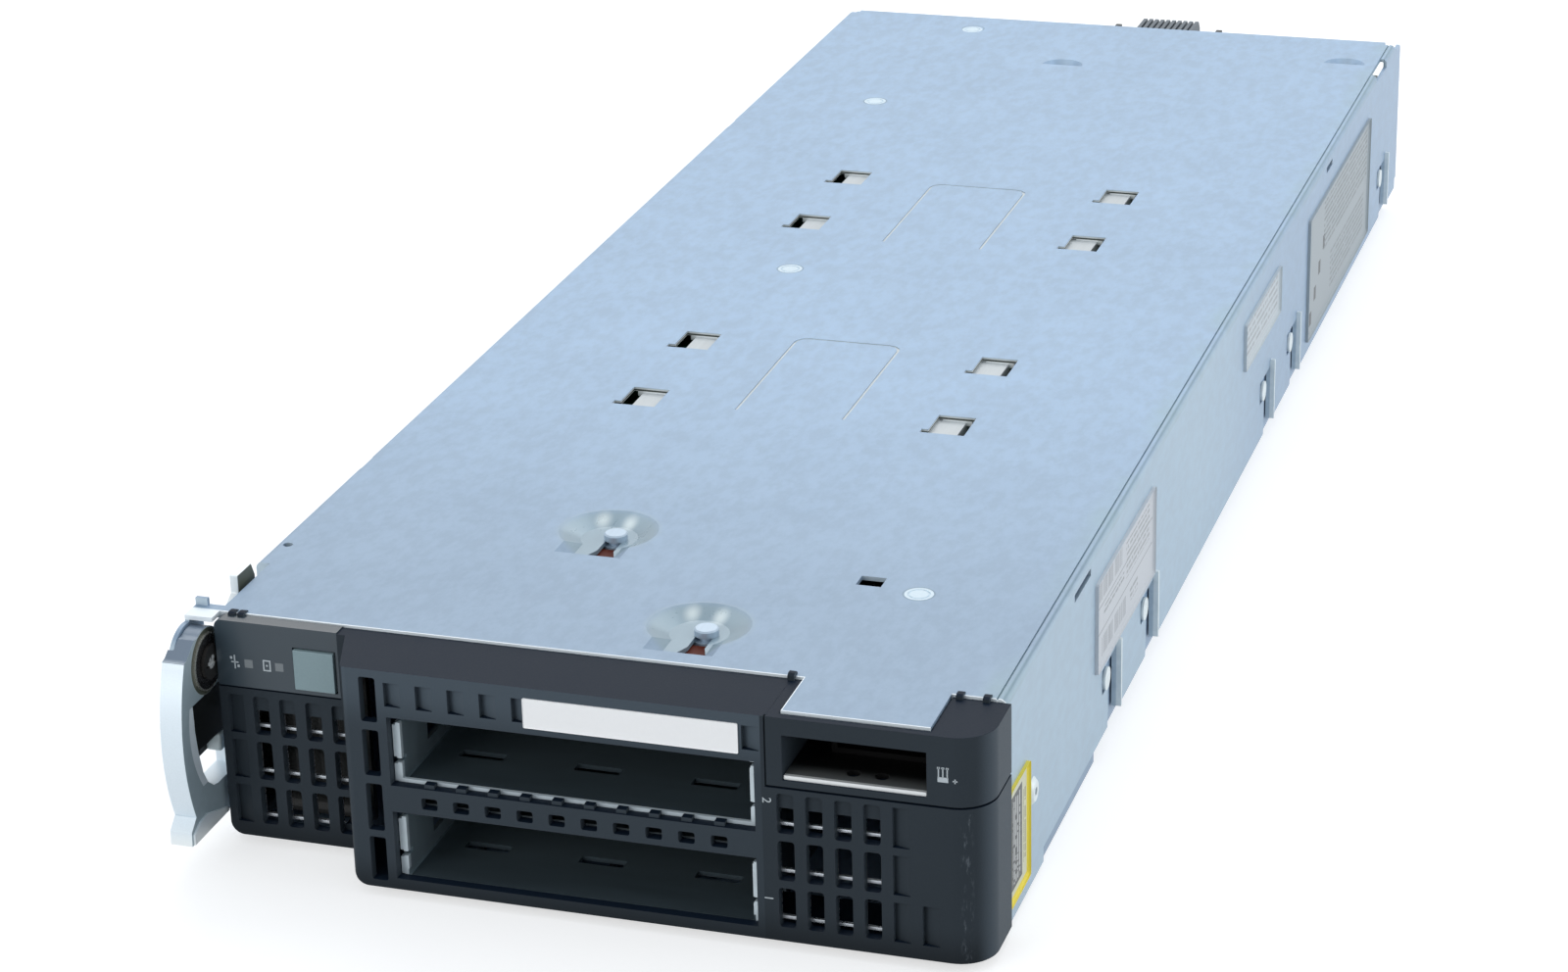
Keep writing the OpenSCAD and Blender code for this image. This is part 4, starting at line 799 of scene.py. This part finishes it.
@dataclass(frozen=True)
class PlainPaper:
    """Film sticker with plain ruled lines and bars on a pale ground.

    Places are across and up the sticker. A patch is its reach across and up, and its
    colour.
    """

    ground: Colour
    ink: Colour = (0.16, 0.18, 0.20)
    border: float = 0.0
    border_colour: Colour = (0.86, 0.72, 0.07)
    upright: bool = False
    line_pitch: float = 2.0
    bars: Tuple[Tuple[Span, Span], ...] = ()
    lines: Tuple[Patch, ...] = ()
    panels: Tuple[Patch, ...] = ()

    def make(self, name: str, side: Side, across: Span, up: Span) -> Material:
        """Builds the material.

        Args:
            name: The sticker's name.
            side: Where it faces.
            across: Its reach across.
            up: Its reach up.

        Returns:
            The material.
        """
        weave = Weave.named(name)
        x, y, z = weave.axes()
        u, v = (y, z) if side is Side.RIGHT else (x, z)
        fibre = weave.noise(weave.place(), 900.0, 3.0)
        printed = weave.shades(fibre, self.ground, 0.96, 1.04)
        for wide, tall, colour in self.panels:
            printed = weave.mix(u.within(wide) * v.within(tall), printed, colour)
        for wide, tall in self.bars:
            run = weave.node("ShaderNodeCombineXYZ", inputs={"X": u})
            stripe = weave.noise(run, 2.6, 0.0) > 0.5
            inked = u.within(wide) * v.within(tall) * stripe * 0.7
            printed = weave.mix(inked, printed, self.ink)
        reading, stacked = (v, u) if self.upright else (u, v)
        for wide, tall, colour in self.lines:
            rest = stacked % self.line_pitch
            run = weave.node("ShaderNodeCombineXYZ", inputs={"X": reading, "Y": stacked - rest})
            words = (weave.noise(run, 0.9, 2.0) > 0.42) * (rest < self.line_pitch * 0.5)
            inked = u.within(wide) * v.within(tall) * words * 0.85
            printed = weave.mix(inked, printed, colour)
        if self.border:
            inside = u.within((across[0] + self.border, across[1] - self.border))
            inside = inside * v.within((up[0] + self.border, up[1] - self.border))
            printed = weave.mix(inside, self.border_colour, printed)
        return weave.surface({"Base Color": printed, "Roughness": 0.42 + fibre * 0.1})


@dataclass
class Wardrobe:
    """The finish of every material slot, and of the few parts that depart from their slot."""

    finishes: Mapping[str, object] = field(default_factory=lambda: {
        "steel_sheet": ZincSheet(),
        "panel_button_plastic": MouldedPlastic("panel_button_plastic", (0.05, 0.065, 0.085)),
        "bezel_plastic": BezelPlastic(),
        "bright_steel": BareSteel("bright_steel", (0.74, 0.79, 0.84)),
        "gloss_panel": GlossPlastic("gloss_panel", (0.023, 0.040, 0.055), 0.26, 0.1),
        "light_pipe": GlossPlastic("light_pipe", (0.14, 0.165, 0.18), 0.2),
        "power_button_plastic": MouldedPlastic("power_button_plastic", (0.245, 0.335, 0.360), 0.4),
        "lever_casting": LeverPaint(),
        "claw_steel": ClawSteel(),
        "latch_black": MouldedPlastic("latch_black", (0.006, 0.007, 0.007), 0.4, specular=0.2),
        "latch_silver": CastPaint("latch_silver", (0.74, 0.84, 0.85), 0.3, 0.1),
        "insulator": MouldedPlastic("insulator", (0.105, 0.018, 0.008), 0.5, specular=0.12),
        "rivet_steel": MouldedPlastic("rivet_steel", (0.70, 0.82, 0.92), 0.42),
        "circuit_board": SolderMask(),
        "black_plastic": MouldedPlastic("black_plastic", (0.010, 0.011, 0.012), 0.45),
        "heatsink_metal": BareSteel(
            "heatsink_metal", (0.70, 0.72, 0.74), 0.35, 0.9, (60.0, 1200.0, 60.0)
        ),
        "processor_lid": BareSteel("processor_lid", (0.70, 0.70, 0.69), 0.25, 1.0),
        "baffle_plastic": GlossPlastic("baffle_plastic", (0.30, 0.33, 0.35), 0.2),
        "contact_brass": BareSteel("contact_brass", (0.80, 0.55, 0.20), 0.25, 1.0),
    })
    own: Mapping[str, object] = field(default_factory=lambda: {
        "front_panel_board": SolderMask("front_board_mask", (0.004, 0.006, 0.006)),
        "drive_cage": CageSteel(),
        "cpu_backplates": BareSteel("plate_steel", (0.56, 0.60, 0.62), 0.4, 0.15),
        "cage_studs": BareSteel("stud_steel", (0.46, 0.57, 0.68), 0.3, 0.3),
        "lever_washer": WasherEnamel(),
        "suv_floor_plate": SillSteel(),
        "lever_pivot_screw": PivotScrew(),
        "suv_connector": MouldedPlastic(
            "recess_plastic", (0.004, 0.004, 0.004), 0.5, specular=0.1
        ),
        "signal_wafers": MouldedPlastic("wafer_plastic", (0.13, 0.155, 0.18), 0.5),
    })
    made: dict = field(default_factory=dict)

    def material(self, node: str, slot: str) -> Material:
        """The material of a node, made when it is first asked for."""
        key, finish = (node, self.own[node]) if node in self.own else (slot, self.finishes[slot])
        if key not in self.made:
            self.made[key] = finish.make()
        return self.made[key]

    def dress(self, nodes: Mapping[str, Piece], slots: Mapping[str, str]) -> None:
        """Gives every node of the frame its finish."""
        for name, node in nodes.items():
            finish = self.material(name, slots[name])
            for index in range(max(1, len(node.material_slots))):
                if index >= len(node.material_slots):
                    node.data.materials.append(finish)
                node.material_slots[index].material = finish


# ---- modelling


class Bench:
    """Modelling steps that the sub-assemblies share."""

    STEPS = 2
    SHARP = math.radians(32.0)
    SMOOTH = math.radians(40.0)
    FLAT = math.radians(0.5)

    def __init__(
        self,
        nodes: Mapping[str, Piece],
        bodies: Mapping[str, str],
        slots: Mapping[str, str],
        wardrobe: Wardrobe,
    ) -> None:
        """Keeps the frame's nodes, each node's body and slot, and the finishes."""
        self.nodes = nodes
        self.bodies = bodies
        self.slots = slots
        self.wardrobe = wardrobe

    @staticmethod
    def clear() -> None:
        """Leaves edit mode and deselects everything."""
        active = bpy.context.view_layer.objects.active
        if active is not None and active.mode != "OBJECT":
            bpy.ops.object.mode_set(mode="OBJECT")
        bpy.ops.object.select_all(action="DESELECT")

    @classmethod
    def pick(cls, piece: Piece) -> None:
        """Selects one object and makes it active."""
        cls.clear()
        piece.select_set(True)
        bpy.context.view_layer.objects.active = piece

    @classmethod
    def block(cls, name: str, low: Point, high: Point) -> Piece:
        """Adds a block between two corners, with its place in its mesh."""
        cls.clear()
        centre = [(a + b) / 2 * MM for a, b in zip(low, high)]
        bpy.ops.mesh.primitive_cube_add(size=1.0, location=centre)
        made = bpy.context.active_object
        made.name = name
        made.scale = [(b - a) * MM for a, b in zip(low, high)]
        bpy.ops.object.transform_apply(location=True, rotation=True, scale=True)
        return made

    @classmethod
    def edges(
        cls, piece: Piece, width: float, segments: int, along: Optional[Vector] = None
    ) -> None:
        """Bevels a piece's edges in edit mode.

        Args:
            piece: The piece.
            width: The bevel's width.
            segments: Its steps.
            along: Direction of the edges to take, or None for all of them.
        """
        cls.pick(piece)
        bpy.ops.object.mode_set(mode="EDIT")
        bpy.ops.mesh.select_all(action="DESELECT")
        mesh = bmesh.from_edit_mesh(piece.data)
        for edge in mesh.edges:
            way = (edge.verts[1].co - edge.verts[0].co).normalized()
            edge.select = along is None or abs(way.dot(along)) > 0.99
        mesh.select_flush(True)
        bmesh.update_edit_mesh(piece.data)
        bpy.ops.mesh.select_mode(type="EDGE")
        bpy.ops.mesh.bevel(offset=width * MM, segments=segments, affect="EDGES")
        bpy.ops.object.mode_set(mode="OBJECT")

    def soften(self, node: str, width: float) -> Piece:
        """Copies a node and rounds its sharp edges.

        Args:
            node: The node's name.
            width: The edges' rounding.

        Returns:
            The new piece.
        """
        source = self.nodes[node]
        self.clear()
        made = source.copy()
        made.data = source.data.copy()
        made.parent = None
        made.name = node + "_soft"
        bpy.context.scene.collection.objects.link(made)
        self.pick(made)
        bpy.ops.object.mode_set(mode="EDIT")
        bpy.ops.mesh.select_all(action="SELECT")
        bpy.ops.mesh.remove_doubles(threshold=0.002 * MM)
        bpy.ops.mesh.dissolve_limited(angle_limit=self.FLAT)
        bpy.ops.object.mode_set(mode="OBJECT")
        bevel = made.modifiers.new("edges", "BEVEL")
        bevel.width = width * MM
        bevel.segments = self.STEPS
        bevel.limit_method = "ANGLE"
        bevel.angle_limit = self.SHARP
        bevel.use_clamp_overlap = True
        bpy.ops.object.modifier_apply(modifier=bevel.name)
        bpy.ops.object.shade_smooth_by_angle(angle=self.SMOOTH)
        level = made.modifiers.new("level", "WEIGHTED_NORMAL")
        level.keep_sharp = True
        bpy.ops.object.modifier_apply(modifier=level.name)
        return made

    @staticmethod
    def settle(
        piece: Piece, body: str, slot: str, material: bpy.types.Material
    ) -> None:
        """Gives a finished piece its material and its body."""
        piece.data.materials.clear()
        piece.data.materials.append(material)
        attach(piece, body)
        LOG.info("piece %s rides on %s", piece.name, body)

    def stand_in(self, piece: Piece, node: str) -> None:
        """Makes a finished piece stand for a node, with the node's finish and body."""
        slot = self.slots[node]
        self.settle(piece, self.bodies[node], slot, self.wardrobe.material(node, slot))
        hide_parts(node)


# ---- sub-assemblies


@dataclass
class Studio:
    """Floor, lights, world and camera, with places and sizes in metres."""

    camera_at: Point = (0.26355, -0.90682, 0.39161)
    right: Point = (0.95321291, 0.3013087, -0.02445846)
    down: Point = (0.09451048, -0.37388608, -0.92264672)
    forward: Point = (-0.28714616, 0.87716718, -0.38486987)
    lens: float = 88.455
    aim: Point = (0.0, 0.0, 0.03)
    floor_size: float = 30.0
    floor_colour: Colour = (0.55, 0.56, 0.57)
    floor_glow: Colour = (0.62, 0.62, 0.62)
    ambient: Colour = (0.55, 0.585, 0.62)

    def camera(self) -> None:
        """Sets the camera at its place and angle."""
        axes = Matrix((self.right, -Vector(self.down), -Vector(self.forward)))
        data = bpy.data.cameras.new("camera")
        data.lens = self.lens
        data.sensor_width = 36.0
        data.sensor_fit = "HORIZONTAL"
        data.clip_end = 100.0
        eye = bpy.data.objects.new("camera", data)
        eye.matrix_world = Matrix.Translation(self.camera_at) @ axes.transposed().to_4x4()
        bpy.context.scene.collection.objects.link(eye)
        bpy.context.scene.camera = eye

    @staticmethod
    def seen(weave: "Weave") -> Signal:
        """1 on rays from the camera, a mirror or clear plastic, else 0."""
        path = weave.node("ShaderNodeLightPath").socket.node.outputs
        total = Signal(weave, path["Is Camera Ray"]) + Signal(weave, path["Is Glossy Ray"])
        return (total + Signal(weave, path["Is Transmission Ray"])) > 0.5

    def floor(self) -> None:
        """Adds the pale floor, which keeps the object's shadow."""
        Bench.clear()
        bpy.ops.mesh.primitive_plane_add(size=self.floor_size, location=(0.0, 0.0, -0.0002))
        ground = bpy.context.active_object
        ground.name = "floor"
        weave = Weave.named("floor_paper")
        glow = weave.mix(self.seen(weave), (0.0, 0.0, 0.0), self.floor_glow)
        ground.data.materials.append(weave.surface({
            "Base Color": self.floor_colour,
            "Roughness": 0.9,
            "Emission Color": glow,
            "Emission Strength": 1.0,
        }))

    def lamp(self, name: str, at: Point, size: Span, power: float) -> None:
        """Adds one soft rectangular lamp that points at the object."""
        data = bpy.data.lights.new(name, "AREA")
        data.shape = "RECTANGLE"
        data.size, data.size_y = size
        data.energy = power
        lamp = bpy.data.objects.new(name, data)
        lamp.location = at
        away = Vector(at) - Vector(self.aim)
        lamp.rotation_euler = away.to_track_quat("Z", "Y").to_euler()
        bpy.context.scene.collection.objects.link(lamp)

    def world(self) -> None:
        """Sets an even pale world, white where it is seen."""
        weave = Weave(bpy.data.worlds.new("studio"))
        white = (1.0, 1.0, 1.0)
        colour = weave.mix(self.seen(weave), self.ambient, white)
        bpy.context.scene.world = weave.surface({"Color": colour})

    def build(self) -> None:
        """Sets up the whole studio."""
        self.camera()
        self.floor()
        self.world()
        self.lamp("key", (-0.4, 1.3, 1.5), (1.8, 1.4), 14.0)
        self.lamp("right_fill", (1.5, 0.25, 0.7), (1.2, 1.2), 9.0)
        self.lamp("front_strip", (-0.9, -1.5, 0.55), (1.0, 1.2), 9.0)


@dataclass
class SoftParts:
    """Visible parts whose edges are slightly rounded."""

    rounding: Mapping[str, float] = field(default_factory=lambda: {
        "front_bezel": 0.22, "suv_bezel": 0.3, "led_panel": 0.3, "power_button": 0.25,
        "release_lever": 0.35, "lever_claw": 0.25,
    })

    def build(self, bench: Bench) -> None:
        """Replaces each part by its softened copy."""
        for node, width in self.rounding.items():
            bench.stand_in(bench.soften(node, width), node)


@dataclass
class BackPlates:
    """Processor backing plates, whose tops lie close under the windows."""

    node: str = "cpu_backplates"
    top: float = 50.9
    raised: float = 1.35
    rounding: float = 0.15

    def build(self, bench: Bench) -> None:
        """Builds the plates in place of their solids."""
        piece = bench.soften(self.node, self.rounding)
        bench.pick(piece)
        for vertex in piece.data.vertices:
            vertex.select = vertex.co.z > (self.top - 2.0 * self.rounding) * MM
        bpy.ops.object.mode_set(mode="EDIT")
        bpy.ops.mesh.select_mode(type="VERT")
        bpy.ops.transform.translate(value=(0.0, 0.0, self.raised * MM))
        bpy.ops.object.mode_set(mode="OBJECT")
        bench.stand_in(piece, self.node)


@dataclass
class Latch:
    """Black housing and silver thumb button in the lever's slot."""

    outer: float = -91.0
    inner: float = -86.6
    rear: float = -227.0
    wall: float = 0.7
    thumb: Span = (20.5, 24.8)
    thumb_y: Span = (-233.4, -225.9)
    front: float = -244.3
    top: float = 37.0

    def build(self, bench: Bench) -> None:
        """Builds the housing and the button, each in place of its solid."""
        low, high = self.thumb
        upper = bench.block(
            "latch_housing",
            (self.outer + 0.4, self.front, high + 0.5),
            (self.inner, self.rear, self.top),
        )
        side = bench.block(
            "latch_side",
            (self.outer, self.front + 0.9, low - 0.2),
            (self.outer + self.wall, self.rear, high + 0.9),
        )
        bench.pick(upper)
        side.select_set(True)
        bpy.ops.object.join()
        bench.edges(upper, 0.25, 2)
        bench.stand_in(upper, "lever_latch_body")
        corner = (self.outer + self.wall + 0.1, self.thumb_y[0], low)
        button = bench.block("latch_button", corner, (self.inner, self.thumb_y[1], high))
        bench.edges(button, 0.5, 3)
        bench.stand_in(button, "lever_latch_button")


@dataclass
class Sticker:
    """A thin film sticker."""

    name: str
    side: Side
    face: float
    across: Span
    up: Span
    paper: PlainPaper
    corner: float = 0.8
    thickness: float = 0.12

    def build(self, bench: Bench) -> None:
        """Builds the sticker on its face."""
        if self.side is Side.RIGHT:
            low = (self.face, self.across[0], self.up[0])
            high = (self.face + self.thickness, self.across[1], self.up[1])
            normal = Vector((1, 0, 0))
        else:
            low = (self.across[0], self.face - self.thickness, self.up[0])
            high = (self.across[1], self.face, self.up[1])
            normal = Vector((0, 1, 0))
        piece = bench.block(self.name, low, high)
        bench.edges(piece, self.corner, 3, normal)
        paper = self.paper.make(self.name, self.side, self.across, self.up)
        bench.settle(piece, "chassis", "light_pipe", paper)


@dataclass
class Stickers:
    """All stickers: blank or with plain ruled lines and bars."""

    wall: float = 88.3
    nose: float = -250.0
    rule_colour: Colour = (0.30, 0.32, 0.35)

    def build(self, bench: Bench) -> None:
        """Builds the stickers."""
        rule = self.rule_colour
        rows = (
            ("edge_sticker", (-230.8, -214.6), (5.2, 32.0), PlainPaper(
                (0.66, 0.67, 0.52), (0.23, 0.21, 0.10),
                border=1.3, upright=True, line_pitch=1.5,
                panels=(((-228.2, -219.6), (7.8, 29.4), (0.075, 0.080, 0.085)),),
                lines=(((-227.4, -220.4), (8.8, 28.4), (0.62, 0.64, 0.64)),
                       ((-218.6, -216.6), (10.0, 27.0), (0.20, 0.19, 0.08))))),
            ("serial_sticker", (-154.0, -95.4), (23.0, 45.0), PlainPaper(
                (0.60, 0.63, 0.67), line_pitch=1.5,
                bars=(((-151.0, -128.0), (39.0, 43.4)), ((-148.0, -124.0), (25.0, 29.6))),
                lines=(((-146.0, -126.0), (34.6, 36.4), (0.25, 0.27, 0.29)),
                       ((-124.0, -100.0), (33.5, 42.5), (0.34, 0.36, 0.38)),
                       ((-120.0, -112.0), (26.0, 30.0), (0.30, 0.32, 0.34))),
                panels=(((-152.0, -97.0), (37.5, 37.8), rule),
                        ((-152.0, -97.0), (31.2, 31.5), rule)))),
            ("note_sticker", (12.0, 60.0), (33.0, 46.0), PlainPaper(
                (0.56, 0.62, 0.66), line_pitch=1.9,
                lines=(((15.0, 57.0), (35.0, 44.5), (0.36, 0.39, 0.42)),))),
            ("rating_sticker", (103.0, 203.0), (8.0, 44.0), PlainPaper(
                (0.37, 0.42, 0.45), line_pitch=1.7,
                lines=(((128.0, 200.0), (27.0, 41.5), (0.20, 0.23, 0.25)),
                       ((140.0, 196.0), (11.0, 23.0), (0.22, 0.25, 0.27))),
                panels=tuple(((107.5 + 6.4 * n, 110.8 + 6.4 * n), (11.0 + 5.6 * n, 15.0 + 5.6 * n),
                              (0.10, 0.11, 0.12)) for n in range(4)))),
        )
        for name, across, up, paper in rows:
            Sticker(name, Side.RIGHT, self.wall, across, up, paper).build(bench)
        blank = PlainPaper((1.0, 1.0, 1.0))
        Sticker(
            "asset_sticker", Side.FRONT, self.nose, (-8.9, 37.4), (44.0, 50.7), blank, corner=0.3
        ).build(bench)


@dataclass
class PrintedMarks:
    """Bay numbers and small plain pictograms."""

    nose: float = -250.0
    left_face: float = -235.6
    relief: float = 0.06
    ink: Colour = (0.50, 0.55, 0.58)

    def digit(
        self, bench: Bench, paint: Material, text: str, at: Span, size: float
    ) -> None:
        """Adds one bay number whose top points to +X, made a mesh.

        Args:
            bench: The modelling steps.
            paint: The ink.
            text: The number.
            at: Its centre, across and up.
            size: Its height.
        """
        bench.clear()
        bpy.ops.object.text_add()
        piece = bpy.context.active_object
        piece.name = "bay_number_" + text
        piece.data.body = text
        piece.data.size = size * MM
        piece.data.align_x = "CENTER"
        piece.data.align_y = "CENTER"
        piece.data.extrude = self.relief / 2 * MM
        bpy.ops.object.convert(target="MESH")
        upright = Matrix.Rotation(math.radians(90), 4, "X")
        turn = upright @ Matrix.Rotation(math.radians(-90), 4, "Z")
        centre = Vector((at[0], self.nose - self.relief / 2, at[1])) * MM
        piece.data.transform(Matrix.Translation(centre) @ turn)
        piece.matrix_world = Matrix.Identity(4)
        bench.settle(piece, "chassis", "light_pipe", paint)

    def pictogram(self, bench: Bench, paint: Material, name: str, face: float,
                  bars: Sequence[Tuple[Span, Span]]) -> None:
        """Adds one mark made of small printed bars.

        Args:
            bench: The modelling steps.
            paint: The ink.
            name: The mark's name.
            face: Place of the face that it is printed on.
            bars: Each bar's reach across and up.
        """
        pieces = []
        for number, (wide, tall) in enumerate(bars):
            low, high = (wide[0], face - self.relief, tall[0]), (wide[1], face + 0.02, tall[1])
            pieces.append(bench.block(f"{name}_{number}", low, high))
        bench.pick(pieces[0])
        for piece in pieces[1:]:
            piece.select_set(True)
        bpy.ops.object.join()
        pieces[0].name = name
        bench.edges(pieces[0], 0.015, 1)
        bench.settle(pieces[0], "chassis", "light_pipe", paint)

    def build(self, bench: Bench) -> None:
        """Builds all the marks."""
        paint = MouldedPlastic("print_ink", self.ink, 0.5, 1500.0, 0.01).make()
        self.digit(bench, paint, "2", (43.0, 34.2), 2.7)
        self.digit(bench, paint, "1", (42.9, 11.8), 2.7)
        # link lamp: two small boxes joined by a line
        self.pictogram(bench, paint, "link_mark", self.left_face, (
            ((-80.5, -80.2), (42.2, 45.4)), ((-81.2, -79.5), (43.6, 43.9)),
            ((-81.4, -80.9), (44.4, 45.0)), ((-79.8, -79.3), (42.6, 43.2))))
        # locator lamp: a ring of bars round a dot
        self.pictogram(bench, paint, "locator_mark", self.left_face, (
            ((-73.8, -72.0), (44.7, 45.0)), ((-73.8, -72.0), (42.4, 42.7)),
            ((-73.8, -73.5), (42.7, 44.7)), ((-72.3, -72.0), (42.7, 44.7)),
            ((-73.1, -72.7), (43.5, 43.9))))
        # adapter recess: three pins over a socket, and a plus
        pins = tuple(bar for at in (79.1, 80.0, 80.9) for bar in (
            ((at - 0.13, at + 0.13), (44.0, 46.2)), ((at - 0.3, at + 0.3), (45.9, 46.3))))
        self.pictogram(bench, paint, "adapter_mark", self.nose, pins + (
            ((78.9, 81.1), (43.0, 44.1)), ((82.0, 83.0), (43.35, 43.6)),
            ((82.37, 82.63), (42.98, 43.97))))


def main() -> None:
    """Builds the dressed blade server."""
    logging.basicConfig(level=logging.INFO, format="%(name)s: %(message)s")
    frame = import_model()
    bpy.context.scene.view_settings.view_transform = "Standard"
    record = frame["record"]
    slots = {entry["node"]: entry["material_slot"] for entry in record["subparts"]}
    held = record["behaviour"]["bodies"]
    bodies = {node: body for body, nodes in held.items() for node in nodes}
    nodes = frame["nodes"]
    Studio().build()
    wardrobe = Wardrobe()
    wardrobe.dress(nodes, slots)
    bench = Bench(nodes, bodies, slots, wardrobe)
    for assembly in (SoftParts(), BackPlates(), Latch(), Stickers(), PrintedMarks()):
        assembly.build(bench)


if __name__ == "__main__":
    main()
